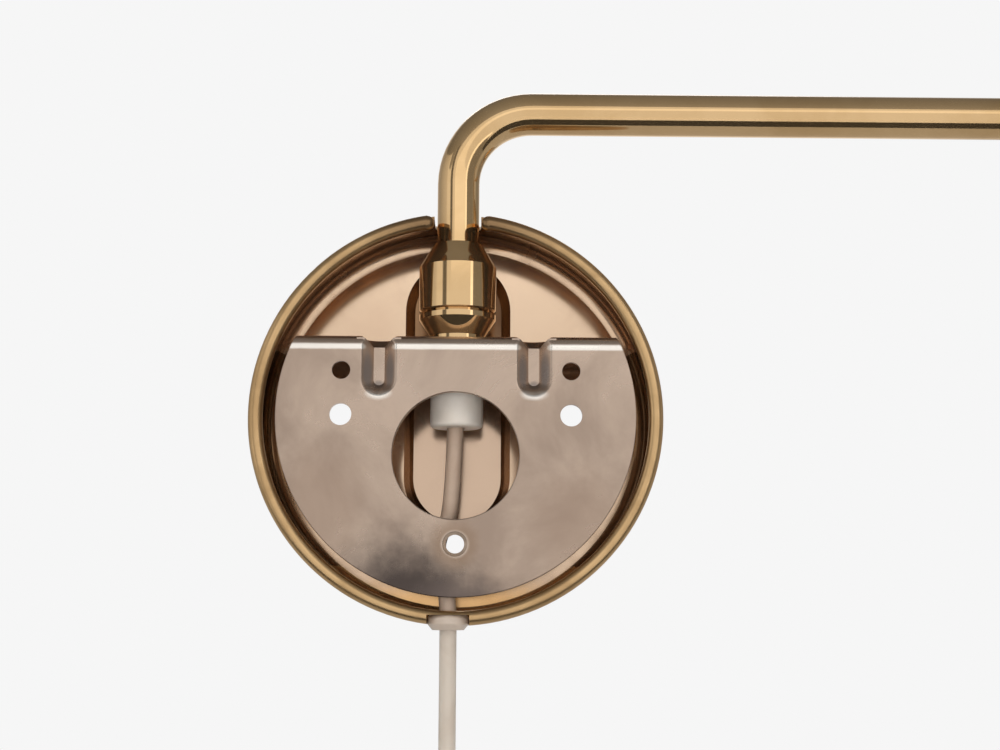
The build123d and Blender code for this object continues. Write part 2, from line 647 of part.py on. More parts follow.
def knuckle_half(side):
    """One half of the hollow knuckle, lying on its side of the parting plane; its stem points up."""
    face = side * KNUCKLE_GAP
    outer = side * (KNUCKLE_GAP + KNUCKLE_HALF)
    low, high = sorted((face, outer))
    disc = rod_along_x(KNUCKLE_R, low, high, 0, 0)
    floor = outer - side * KNUCKLE_WALL
    chamber_low, chamber_high = sorted((face - side, floor))
    half = disc + (rod(KNUCKLE_NECK_R, 0, STEM_FROM_PIVOT, 0, 0)
                   & block((low, -KNUCKLE_R, 0), (high, KNUCKLE_R, STEM_FROM_PIVOT)))
    half += rod(KNUCKLE_NECK_R, STEM_FROM_PIVOT, STEM_FROM_PIVOT + KNUCKLE_NECK, 0, 0)
    half -= rod_along_x(KNUCKLE_R - KNUCKLE_WALL, chamber_low, chamber_high, 0, 0)
    half += rod_along_x(KNUCKLE_BOSS_R, low, high, 0, 0)
    return half - rod_along_x(KNUCKLE_SCREW_R + RUNNING_FIT, low - OVERCUT, high + OVERCUT, 0, 0)


def knuckle_upper():
    """Upper half, plugged into the tip of the upper arm."""
    stem_top = STEM_FROM_PIVOT + KNUCKLE_NECK
    half = knuckle_half(1) + rod(TUBE_BORE_R - SLIP_FIT, stem_top, stem_top + KNUCKLE_SPIGOT, 0, 0)
    half -= rod(CORD_BORE_R, BORE_FROM_PIVOT, stem_top + KNUCKLE_SPIGOT + OVERCUT, 0, 0)
    return Pos(HEAD_X, HEAD_Y, PIVOT_Z) * half


def knuckle_lower():
    """Lower half, with the threaded nipple that carries the lampholder."""
    stem_top = STEM_FROM_PIVOT + KNUCKLE_NECK
    half = knuckle_half(1) + rod(SHANK_R, stem_top, stem_top + NIPPLE_LENGTH, 0, 0)
    half -= rod(CORD_BORE_R, BORE_FROM_PIVOT, stem_top + NIPPLE_LENGTH + OVERCUT, 0, 0)
    return Pos(HEAD_X, HEAD_Y, PIVOT_Z) * Rot(0, 180, 0) * half


def knuckle_washer():
    """Friction washer between the two halves."""
    half_t = KNUCKLE_WASHER_T / 2
    washer = rod_along_x(KNUCKLE_BOSS_R, -half_t, half_t, 0, 0)
    washer -= rod_along_x(KNUCKLE_SCREW_R + RUNNING_FIT, -half_t - OVERCUT, half_t + OVERCUT, 0, 0)
    return Pos(HEAD_X, HEAD_Y, PIVOT_Z) * washer


def knuckle_screw():
    """Screw through the knuckle, with a round slotted head."""
    side = KNUCKLE_GAP + KNUCKLE_HALF
    head = rod_along_x(KNUCKLE_HEAD_R, side, side + KNUCKLE_HEAD_T, 0, 0)
    head = fillet(head.edges().sort_by(Axis.X)[-1], KNUCKLE_HEAD_T / 2)
    slot_x = side + KNUCKLE_HEAD_T / 2
    head -= block((slot_x, -KNUCKLE_HEAD_R, -EDGE_R), (slot_x + KNUCKLE_HEAD_T, KNUCKLE_HEAD_R, EDGE_R))
    shaft = rod_along_x(KNUCKLE_SCREW_R, -side - KNUCKLE_NUT_T, side, 0, 0)
    return Pos(HEAD_X, HEAD_Y, PIVOT_Z) * (head + shaft)


def knuckle_nut():
    """Nut on the knuckle's screw."""
    side = KNUCKLE_GAP + KNUCKLE_HALF
    nut = Rot(0, 90, 0) * hexagon(KNUCKLE_NUT_FLATS, -side - KNUCKLE_NUT_T, -side - RUNNING_FIT, 0, 0)
    nut -= rod_along_x(KNUCKLE_SCREW_R + SLIP_FIT, -2 * side, 0, 0, 0)
    return Pos(HEAD_X, HEAD_Y, PIVOT_Z) * nut


def head_cord():
    """Cord from the knuckle into the lampholder."""
    return rod(CORD_R, COVER_TOP - NIPPLE_LENGTH, PIVOT_Z - STEM_FROM_PIVOT, HEAD_X, HEAD_Y)


def holder_cover():
    """Spun cup over the lampholder, standing on the shade."""
    outer = rod(COVER_R, SHADE_TOP, COVER_TOP, HEAD_X, HEAD_Y)
    outer = fillet(outer.edges().sort_by(Axis.Z)[-1], COVER_SHOULDER_R)
    inner = rod(COVER_R - COVER_WALL, SHADE_TOP - COVER_WALL, COVER_TOP - COVER_WALL, HEAD_X, HEAD_Y)
    inner = fillet(inner.edges().sort_by(Axis.Z)[-1], COVER_SHOULDER_R - COVER_WALL)
    return outer - inner - rod(SHANK_R + SLIP_FIT, SHADE_TOP, COVER_TOP + OVERCUT, HEAD_X, HEAD_Y)


def lampholder_cap():
    """Cap of the lampholder, screwed on the nipple inside the cover."""
    top = COVER_TOP - COVER_WALL
    low = SHADE_TOP + HOLDER_FLANGE_T
    cap = rod(HOLDER_CAP_R, low, top, HEAD_X, HEAD_Y)
    cap = chamfer(cap.edges().sort_by(Axis.Z)[-1], COVER_SHOULDER_R - COVER_WALL)
    cap -= rod(HOLDER_CAP_R - HOLDER_CAP_WALL, low - OVERCUT, COVER_TOP - NIPPLE_LENGTH, HEAD_X, HEAD_Y)
    return cap - rod(SHANK_R + SLIP_FIT, low, top + OVERCUT, HEAD_X, HEAD_Y)


def lampholder_body():
    """Body of the lampholder: a flange that rests on the shade and a skirt that goes through it."""
    top = SHADE_TOP + HOLDER_FLANGE_T
    body = rod(HOLDER_FLANGE_R, SHADE_TOP, top, HEAD_X, HEAD_Y)
    body += rod(HOLDER_SKIRT_R, HOLDER_LOW, top, HEAD_X, HEAD_Y)
    floor = HOLDER_LOW + BULB_CAP_LENGTH + CONTACT_T
    return body - rod(SHELL_R + SLIP_FIT, HOLDER_LOW - OVERCUT, floor, HEAD_X, HEAD_Y)


def screw_shell():
    """Threaded shell that the bulb screws into."""
    high = HOLDER_LOW + BULB_CAP_LENGTH
    return ring(SHELL_R, SHELL_R - SHELL_WALL, HOLDER_LOW + SHELL_INSET, high, HEAD_X, HEAD_Y)


def centre_contact():
    """Contact above the bulb's tip."""
    low = HOLDER_LOW + BULB_CAP_LENGTH
    return rod(CONTACT_R, low, low + CONTACT_T, HEAD_X, HEAD_Y)


def shade_ring():
    """Ring on the skirt, which clamps the shade to the lampholder's flange."""
    high = SHADE_TOP - SHADE_WALL
    low = high - SHADE_RING_T
    disc = rod(SHADE_RING_R, low, high, HEAD_X, HEAD_Y)
    disc = fillet(disc.edges().sort_by(Axis.Z)[0], SHADE_RING_EDGE_R)
    return disc - rod(HOLDER_SKIRT_R + SLIP_FIT, low - OVERCUT, high + OVERCUT, HEAD_X, HEAD_Y)


def shade():
    """Spun bell shade with a rolled rim."""
    hole_r = HOLDER_SKIRT_R + SLIP_FIT
    spread = SHADE_MOUTH_R - SHADE_TOP_R
    rise = SHADE_HEIGHT - SHADE_SKIRT
    dome_r = (spread ** 2 + rise ** 2) / (2 * spread)
    centre_x = SHADE_MOUTH_R - dome_r
    skirt_top = SHADE_LOW + SHADE_SKIRT
    inner_r = dome_r - SHADE_WALL
    under_top = SHADE_TOP - SHADE_WALL
    inner_top_r = centre_x + math.sqrt(inner_r ** 2 - (rise - SHADE_WALL) ** 2)
    wall_r = SHADE_MOUTH_R - SHADE_WALL
    edges = [
        Line((hole_r, 0, SHADE_TOP), (SHADE_TOP_R, 0, SHADE_TOP)),
        TangentArc((SHADE_MOUTH_R, 0, skirt_top), (SHADE_TOP_R, 0, SHADE_TOP), tangent=(0, 0, 1)),
        Line((SHADE_MOUTH_R, 0, skirt_top), (SHADE_MOUTH_R, 0, SHADE_LOW)),
        Line((SHADE_MOUTH_R, 0, SHADE_LOW), (wall_r, 0, SHADE_LOW)),
        Line((wall_r, 0, SHADE_LOW), (wall_r, 0, skirt_top)),
        TangentArc((wall_r, 0, skirt_top), (inner_top_r, 0, under_top), tangent=(0, 0, 1)),
        Line((inner_top_r, 0, under_top), (hole_r, 0, under_top)),
        Line((hole_r, 0, under_top), (hole_r, 0, SHADE_TOP)),
    ]
    bell = revolve(make_face(edges), Axis.Z)
    bead = Pos(0, 0, SHADE_LOW) * Torus(SHADE_MOUTH_R - SHADE_WALL / 2, SHADE_BEAD_R)
    return Pos(HEAD_X, HEAD_Y, 0) * (bell + bead)


def bulb_cap():
    """Screw cap of the bulb."""
    high = HOLDER_LOW + BULB_CAP_LENGTH - RUNNING_FIT
    return rod(BULB_CAP_R, HOLDER_LOW, high, HEAD_X, HEAD_Y)


def bulb_glass():
    """Frosted globe of the bulb."""
    centre = HOLDER_LOW - BULB_NECK
    outer = Pos(HEAD_X, HEAD_Y, centre) * Sphere(BULB_R)
    outer += rod(BULB_NECK_R, centre, HOLDER_LOW, HEAD_X, HEAD_Y)
    inner = Pos(HEAD_X, HEAD_Y, centre) * Sphere(BULB_R - BULB_WALL)
    inner += rod(BULB_NECK_R - BULB_WALL, centre, HOLDER_LOW - BULB_WALL, HEAD_X, HEAD_Y)
    return outer - inner


# Switch on the cord

def switch_slab(front, back):
    """Rounded slab of the switch between two planes parallel to the wall."""
    plane = Plane(origin=(0, back, SWITCH_MIDDLE), x_dir=(1, 0, 0), z_dir=(0, -1, 0))
    return extrude(plane * RectangleRounded(SWITCH_WIDTH, SWITCH_LENGTH, SWITCH_CORNER_R), back - front)


def switch_screw_places():
    """Heights of the switch's two screws."""
    inset = SWITCH_LENGTH / 2 - SWITCH_SCREW_INSET
    return (SWITCH_MIDDLE - inset, SWITCH_MIDDLE + inset)


def switch_base():
    """Rear half of the switch."""
    back = -SWITCH_BACK_GAP
    base = switch_slab(CORD_Y, back)
    base = fillet(base.faces().sort_by(Axis.Y)[-1].edges(), SWITCH_EDGE_R)
    for z in switch_screw_places():
        base -= rod_along_y(SWITCH_SCREW_R + SLIP_FIT, CORD_Y - OVERCUT, back + OVERCUT, 0, z)
        base -= rod_along_y(SWITCH_SCREW_HEAD_R + SLIP_FIT, back - SWITCH_SCREW_HEAD_T, back + OVERCUT, 0, z)
    return base


def switch_cover():
    """Front half of the switch, with the rocker's well."""
    cover = switch_slab(SWITCH_FRONT, CORD_Y)
    cover = fillet(cover.faces().sort_by(Axis.Y)[0].edges(), SWITCH_EDGE_R)
    half_x = ROCKER_WIDTH / 2 + MOVING_GAP
    half_z = math.hypot(ROCKER_HALF_LENGTH, ROCKER_RISE) + ROCKER_WELL_GAP
    cover -= block((-half_x, SWITCH_FRONT - OVERCUT, SWITCH_MIDDLE - half_z),
                   (half_x, SWITCH_FRONT + ROCKER_WELL_DEPTH, SWITCH_MIDDLE + half_z))
    pin_x = ROCKER_WIDTH / 2 + ROCKER_PIN_LENGTH + MOVING_GAP
    cover -= rod_along_x(ROCKER_PIN_R + RUNNING_FIT, -pin_x, pin_x, ROCKER_Y, SWITCH_MIDDLE)
    screw_end = -SWITCH_BACK_GAP - SWITCH_SCREW_LENGTH
    for z in switch_screw_places():
        cover -= rod_along_y(SWITCH_SCREW_R + SLIP_FIT, screw_end - OVERCUT, CORD_Y + OVERCUT, 0, z)
    return cover


def switch_screws():
    """The two screws that hold the switch's halves together."""
    back = -SWITCH_BACK_GAP
    screws = []
    for z in switch_screw_places():
        head = rod_along_y(SWITCH_SCREW_HEAD_R, back - SWITCH_SCREW_HEAD_T, back, 0, z)
        head -= block((-SWITCH_SCREW_HEAD_R, back - SWITCH_SCREW_HEAD_T / 2, z - EDGE_R / 2),
                      (SWITCH_SCREW_HEAD_R, back + OVERCUT, z + EDGE_R / 2))
        shaft = rod_along_y(SWITCH_SCREW_R, back - SWITCH_SCREW_LENGTH, back - SWITCH_SCREW_HEAD_T, 0, z)
        screws.append(head + shaft)
    return Compound(screws)


def switch_rocker():
    """Rocker on its two pins, tipped to one side."""
    hub = ROCKER_PIN_R + ROCKER_HUB_WALL
    outline = [
        (-ROCKER_HALF_LENGTH, ROCKER_RISE), (0, ROCKER_DIP), (ROCKER_HALF_LENGTH, ROCKER_RISE),
        (ROCKER_HALF_LENGTH, ROCKER_TIP_RISE), (hub, -ROCKER_HUB), (-hub, -ROCKER_HUB),
        (-ROCKER_HALF_LENGTH, ROCKER_TIP_RISE)]
    half_x = ROCKER_WIDTH / 2
    profile = make_face(Polyline(*[(-half_x, -h, a) for a, h in outline], close=True))
    rocker = extrude(profile, ROCKER_WIDTH, dir=(1, 0, 0))
    pin_x = half_x + ROCKER_PIN_LENGTH
    rocker += rod_along_x(ROCKER_PIN_R, -pin_x, pin_x, 0, 0)
    return Pos(0, ROCKER_Y, SWITCH_MIDDLE) * Rot(ROCKER_TILT, 0, 0) * rocker


# Free cord

def drop_cord():
    """Cord that hangs from the grommet to the switch."""
    path = Line((0, CORD_Y, GROMMET_LOW), (0, CORD_Y, SWITCH_TOP))
    return check_volume("drop_cord", swept(path, CORD_R), path.length)


def coil_entry():
    """Point where the coil begins, one cord diameter before its first turn."""
    turn = math.radians(LEAD_TURN)
    heading = Vector(math.sin(turn), 0, -math.cos(turn))
    return Vector(LEAD_X, CORD_Y, LEAD_Z) - heading * CORD_D


def lead_cord():
    """Cord from the switch to the coil, bent so that the coil hangs under it."""
    path = cord_path([(0, CORD_Y, SWITCH_LOW), (0, CORD_Y, SWITCH_LOW - LEAD_RUN), tuple(coil_entry())])
    return check_volume("lead_cord", swept(path, CORD_R), path.length)


def coil_stages():
    """Turns, radius and depth at the ends of each spiral and each climb, in order."""
    turns, radius, depth = 0.0, COIL_OUTER_R, CORD_Y
    stages = []
    for layer in range(COIL_LAYERS):
        last = layer == COIL_LAYERS - 1
        layer_turns = COIL_LAST_TURNS if last else COIL_LAYER_TURNS
        inward = layer % 2 == 0
        step = -COIL_PITCH if inward else COIL_PITCH
        stages.append((turns, layer_turns, radius, radius + step * layer_turns, depth, depth))
        turns, radius = turns + layer_turns, radius + step * layer_turns
        if not last:
            stages.append((turns, COIL_CLIMB_TURNS, radius, radius, depth, depth - COIL_LAYER_PITCH))
            turns, depth = turns + COIL_CLIMB_TURNS, depth - COIL_LAYER_PITCH
    return stages


def coil_point(turns):
    """Point of the coil's centre line after a number of turns."""
    stages = coil_stages()
    stage = [s for s in stages if s[0] <= turns + ROUNDING][-1]
    start, span, r0, r1, y0, y1 = stage
    share = min((turns - start) / span, 1.0)
    radius = r0 + (r1 - r0) * share
    depth = y0 + (y1 - y0) * share ** 2 * (3 - 2 * share)
    angle = math.radians(LEAD_TURN - 360 * turns)
    return Vector(COIL_X + radius * math.cos(angle), depth, COIL_Z + radius * math.sin(angle))


def biarc(start, start_dir, end, end_dir):
    """Two arcs that leave start and reach end in the given directions."""
    chord = end - start
    both = start_dir + end_dir
    bend = 2 * (1 - start_dir.dot(end_dir))
    reach = (-chord.dot(both) + math.sqrt(chord.dot(both) ** 2 + bend * chord.dot(chord))) / bend
    ahead = start + start_dir * reach
    behind = end - end_dir * reach
    middle = (ahead + behind) * 0.5
    return [TangentArc(start, middle, tangent=start_dir), TangentArc(middle, end, tangent=behind - ahead)]


def coil_knots():
    """Turn counts at quarter turns along the coil."""
    knots = [0.0]
    for start, span, *_ in coil_stages():
        count = math.ceil(span * COIL_KNOTS_PER_TURN - ROUNDING)
        knots += [start + span * (i + 1) / count for i in range(count)]
    return knots


def coil_direction(turns, total):
    """Direction of the coil's centre line; it is square to the radius at both ends."""
    angle = math.radians(LEAD_TURN - 360 * turns)
    if turns in (0.0, total):
        return Vector(math.sin(angle), 0, -math.cos(angle))
    return (coil_point(turns + COIL_SLOPE_STEP) - coil_point(turns - COIL_SLOPE_STEP)).normalized()


def coil_path():
    """Centre line of the coil, straight for one diameter at each end."""
    knots = coil_knots()
    total = knots[-1]
    points = [coil_point(t) for t in knots]
    ways = [coil_direction(t, total) for t in knots]
    edges = [Line(coil_entry(), points[0])]
    for p0, d0, p1, d1 in zip(points, ways, points[1:], ways[1:]):
        edges += biarc(p0, d0, p1, d1)
    edges.append(Line(points[-1], points[-1] + ways[-1] * CORD_D))
    return Wire(edges)


def least_gap(path):
    """Least gap of a wound cord to itself, on points along its centre line."""
    points = [path @ (i / COIL_SAMPLES) for i in range(COIL_SAMPLES + 1)]
    apart = int(4 * CORD_D / path.length * COIL_SAMPLES)
    return min((points[i] - points[j]).length
               for i in range(0, len(points), 2) for j in range(i + apart, len(points), 2)) - CORD_D


def cord_coil():
    """Put-away length of the cord, wound in piled loops."""
    path = coil_path()
    print("cord_coil least gap", round(least_gap(path), 2))
    return check_volume("cord_coil", swept(path, CORD_R), path.length)


def coil_tie():
    """Strap round the coil, at its foot."""
    reach = COIL_OUTER_R - COIL_INNER_R + CORD_D + 2 * TIE_GAP
    depth = CORD_Y - COIL_FRONT_Y + CORD_D + 2 * TIE_GAP
    middle = (0, (CORD_Y + COIL_FRONT_Y) / 2, COIL_Z - (COIL_OUTER_R + COIL_INNER_R) / 2)
    plane = Plane(origin=middle, x_dir=(0, 1, 0), z_dir=(1, 0, 0))
    band = RectangleRounded(depth + 2 * TIE_T, reach + 2 * TIE_T, TIE_CORNER_R + TIE_T)
    band -= RectangleRounded(depth, reach, TIE_CORNER_R)
    return Pos(COIL_X, 0, 0) * extrude(plane * band, TIE_WIDTH / 2, both=True)


def tail_cord():
    """Cord from the coil to the plug."""
    path = Line((TAIL_X, COIL_FRONT_Y, TAIL_TOP), (TAIL_X, COIL_FRONT_Y, PLUG_TOP))
    return check_volume("tail_cord", swept(path, CORD_R), path.length)


def plug_section(z, width, thickness):
    """Level outline of the plug's body."""
    return Pos(TAIL_X, COIL_FRONT_Y, z) * RectangleRounded(width, thickness, PLUG_CORNER_R)


def plug_body():
    """Flat two-pin plug with its tapered relief."""
    shoulder = PLUG_FACE + PLUG_SHOULDER
    sections = [
        plug_section(PLUG_FACE, PLUG_FACE_WIDTH, PLUG_THICKNESS),
        plug_section(shoulder, PLUG_WIDTH, PLUG_THICKNESS),
        plug_section(PLUG_BODY_TOP, PLUG_NECK_WIDTH, PLUG_NECK_THICKNESS),
    ]
    body = loft(sections, ruled=True)
    relief = Cone(PLUG_RELIEF_ROOT_R, PLUG_RELIEF_TIP_R, PLUG_RELIEF,
                  align=(Align.CENTER, Align.CENTER, Align.MIN))
    return body + Pos(TAIL_X, COIL_FRONT_Y, PLUG_BODY_TOP) * relief


def plug_pins():
    """The plug's two round pins."""
    pins = []
    for side in (-1, 1):
        x = TAIL_X + side * PIN_SPACING / 2
        pin = rod(PIN_R, PLUG_FACE - PIN_LENGTH, PLUG_FACE, x, COIL_FRONT_Y)
        pins.append(fillet(pin.edges().sort_by(Axis.Z)[0], PIN_TIP_R))
    return Compound(pins)


def beside(make):
    """Piece of the free cord, moved to where the cord leaves the cup."""
    return lambda: Pos(CORD_X, 0, 0) * make()


NODES = {
    "wall_cup": wall_cup,
    "mounting_plate": mounting_plate,
    "swivel_seat": swivel_seat,
    "swivel_collar": lambda: collar(RING_TOP, 0),
    "pivot_washer_low": lambda: washer_low(RING_TOP, 0),
    "pivot_washer_high": lambda: washer_high(RING_TOP, 0),
    "seat_lock_washer": seat_lock_washer,
    "seat_lock_nut": seat_lock_nut,
    "cord_grip": cord_grip,
    "cord_grip_screw": cord_grip_screw,
    "cup_cord": cup_cord,
    "exit_grommet": beside(exit_grommet),
    "lower_arm_tube": lower_arm_tube,
    "pivot_sleeve": lambda: sleeve(RING_TOP, 0),
    "pivot_bush": lambda: bush(RING_TOP, 0),
    "lower_arm_cord": lower_arm_cord,
    "elbow_seat": elbow_seat,
    "elbow_plug": elbow_plug,
    "elbow_collar": lambda: collar(ELBOW_RING_TOP, ELBOW_X),
    "elbow_washer_low": lambda: washer_low(ELBOW_RING_TOP, ELBOW_X),
    "elbow_washer_high": lambda: washer_high(ELBOW_RING_TOP, ELBOW_X),
    "upper_arm_tube": upper_arm_tube,
    "elbow_sleeve": lambda: sleeve(ELBOW_RING_TOP, ELBOW_X),
    "elbow_bush": lambda: bush(ELBOW_RING_TOP, ELBOW_X),
    "upper_arm_cord": upper_arm_cord,
    "knuckle_upper": knuckle_upper,
    "knuckle_washer": knuckle_washer,
    "knuckle_screw": knuckle_screw,
    "knuckle_nut": knuckle_nut,
    "knuckle_lower": knuckle_lower,
    "head_cord": head_cord,
    "holder_cover": holder_cover,
    "lampholder_cap": lampholder_cap,
    "lampholder_body": lampholder_body,
    "screw_shell": screw_shell,
    "centre_contact": centre_contact,
    "shade_ring": shade_ring,
    "shade": shade,
    "bulb_cap": bulb_cap,
    "bulb_glass": bulb_glass,
    "drop_cord": beside(drop_cord),
    "switch_base": beside(switch_base),
    "switch_cover": beside(switch_cover),
    "switch_screws": beside(switch_screws),
    "switch_rocker": beside(switch_rocker),
    "lead_cord": beside(lead_cord),
    "cord_coil": beside(cord_coil),
    "coil_tie": beside(coil_tie),
    "tail_cord": beside(tail_cord),
    "plug_body": beside(plug_body),
    "plug_pins": beside(plug_pins),
}

os.makedirs("parts", exist_ok=True)
for name, make in NODES.items():
    export_step(make(), f"parts/{name}.step")
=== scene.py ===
"""Looks of the articulated wall lamp: finishes, cords, dressed pieces and the studio round it."""

import json
import logging
import math
from collections.abc import Callable
from dataclasses import dataclass
from enum import Enum

import bmesh
import bpy
from mathutils import Matrix, Quaternion, Vector


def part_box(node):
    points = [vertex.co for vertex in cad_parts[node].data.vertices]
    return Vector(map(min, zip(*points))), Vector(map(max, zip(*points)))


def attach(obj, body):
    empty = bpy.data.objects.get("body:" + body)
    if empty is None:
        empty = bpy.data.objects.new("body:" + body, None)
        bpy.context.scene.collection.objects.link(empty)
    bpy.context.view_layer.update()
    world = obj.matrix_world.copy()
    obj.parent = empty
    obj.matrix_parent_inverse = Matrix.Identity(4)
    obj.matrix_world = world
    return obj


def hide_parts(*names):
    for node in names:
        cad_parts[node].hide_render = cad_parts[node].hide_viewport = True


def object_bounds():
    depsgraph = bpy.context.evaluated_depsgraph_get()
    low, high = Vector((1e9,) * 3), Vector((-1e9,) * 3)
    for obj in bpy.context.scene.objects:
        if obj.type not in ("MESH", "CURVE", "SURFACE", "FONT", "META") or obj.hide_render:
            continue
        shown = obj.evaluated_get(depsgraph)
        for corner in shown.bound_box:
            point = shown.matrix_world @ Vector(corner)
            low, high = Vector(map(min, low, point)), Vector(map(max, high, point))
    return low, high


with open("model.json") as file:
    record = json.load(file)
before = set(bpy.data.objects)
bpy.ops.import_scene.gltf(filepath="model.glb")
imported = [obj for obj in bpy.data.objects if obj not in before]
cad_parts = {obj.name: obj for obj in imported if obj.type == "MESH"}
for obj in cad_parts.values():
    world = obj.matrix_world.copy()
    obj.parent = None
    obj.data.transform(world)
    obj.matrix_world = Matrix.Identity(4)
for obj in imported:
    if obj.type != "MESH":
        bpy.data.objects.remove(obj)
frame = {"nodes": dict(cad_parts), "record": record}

LOG = logging.getLogger("wall_lamp")
CAD_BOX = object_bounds()
MM = 0.001
MICRON = 0.000001
Socket = bpy.types.NodeSocket
Colour = tuple[float, float, float]
Triple = tuple[float, float, float]
Row = tuple[Triple, Triple, float]


class Slot(Enum):
    """Material slots of the lamp's record."""

    BRASS = "polished_brass"
    STEEL = "plated_steel"
    NICKEL = "nickel"
    PLASTIC = "white_plastic"
    FLEX = "white_flex"
    NYLON = "nylon"
    GLASS = "opal_glass"


class Body(Enum):
    """Bodies that the scene's own pieces ride on."""

    ROSE = "wall_rose"


class Tree:
    """Adds nodes to a node tree and links them."""

    def __init__(self, tree: bpy.types.NodeTree) -> None:
        """Keep the tree that is added to."""
        self.tree = tree

    def add(self, kind: str, values: dict[str | int, object] | None = None, **settings: object) -> bpy.types.Node:
        """Add a node.

        Args:
            kind: Type name of the node.
            values: What its inputs get, by name or number: sockets to link, or constants.
            settings: Properties of the node.

        Returns:
            The new node.
        """
        made = self.tree.nodes.new(kind)
        for name, value in settings.items():
            setattr(made, name, value)
        for name, value in (values or {}).items():
            if isinstance(value, Socket):
                self.join(value, made.inputs[name])
            else:
                made.inputs[name].default_value = value
        return made

    def join(self, source: Socket, target: Socket) -> None:
        """Link an output to an input."""
        self.tree.links.new(source, target)

    def math(self, operation: str, first: Socket, second: Socket | float) -> Socket:
        """Add a math node and give its result."""
        return self.add("ShaderNodeMath", {0: first, 1: second}, operation=operation).outputs[0]

    def vector(self, operation: str, first: Socket, second: Socket | Triple) -> Socket:
        """Add a vector math node and give the vector that it makes of two."""
        return self.add("ShaderNodeVectorMath", {0: first, 1: second}, operation=operation).outputs["Vector"]

    def length(self, vector: Socket) -> Socket:
        """Give the length of a vector."""
        return self.add("ShaderNodeVectorMath", {0: vector}, operation="LENGTH").outputs["Value"]

    def remap(self, mask: Socket, low: float, high: float) -> Socket:
        """Spread a mask that runs from 0 to 1 over another span."""
        return self.add("ShaderNodeMapRange", {"Value": mask, "To Min": low, "To Max": high}).outputs["Result"]

    def fade(self, value: Socket, start: Socket | float, end: float, low: float, high: float) -> Socket:
        """Turn a value into a mask with a smooth edge.

        Args:
            value: The value.
            start: Value at which the edge starts.
            end: Value at which it ends.
            low: The mask before the edge.
            high: The mask after it.

        Returns:
            The mask.
        """
        made = self.add("ShaderNodeMapRange", {"Value": value, "From Min": start, "From Max": end,
                                               "To Min": low, "To Max": high}, interpolation_type="SMOOTHSTEP")
        return made.outputs["Result"]

    def blend(self, mask: Socket, first: Colour | Socket, second: Colour) -> Socket:
        """Mix two colours by a mask.

        Args:
            mask: Share of the second colour.
            first: Colour where the mask is 0, or its socket.
            second: Colour where the mask is 1.

        Returns:
            The mixed colour.
        """
        factor, under, over, result = 0, 6, 7, 2
        base = first if isinstance(first, Socket) else (*first, 1.0)
        made = self.add("ShaderNodeMix", {factor: mask, under: base, over: (*second, 1.0)}, data_type="RGBA")
        return made.outputs[result]


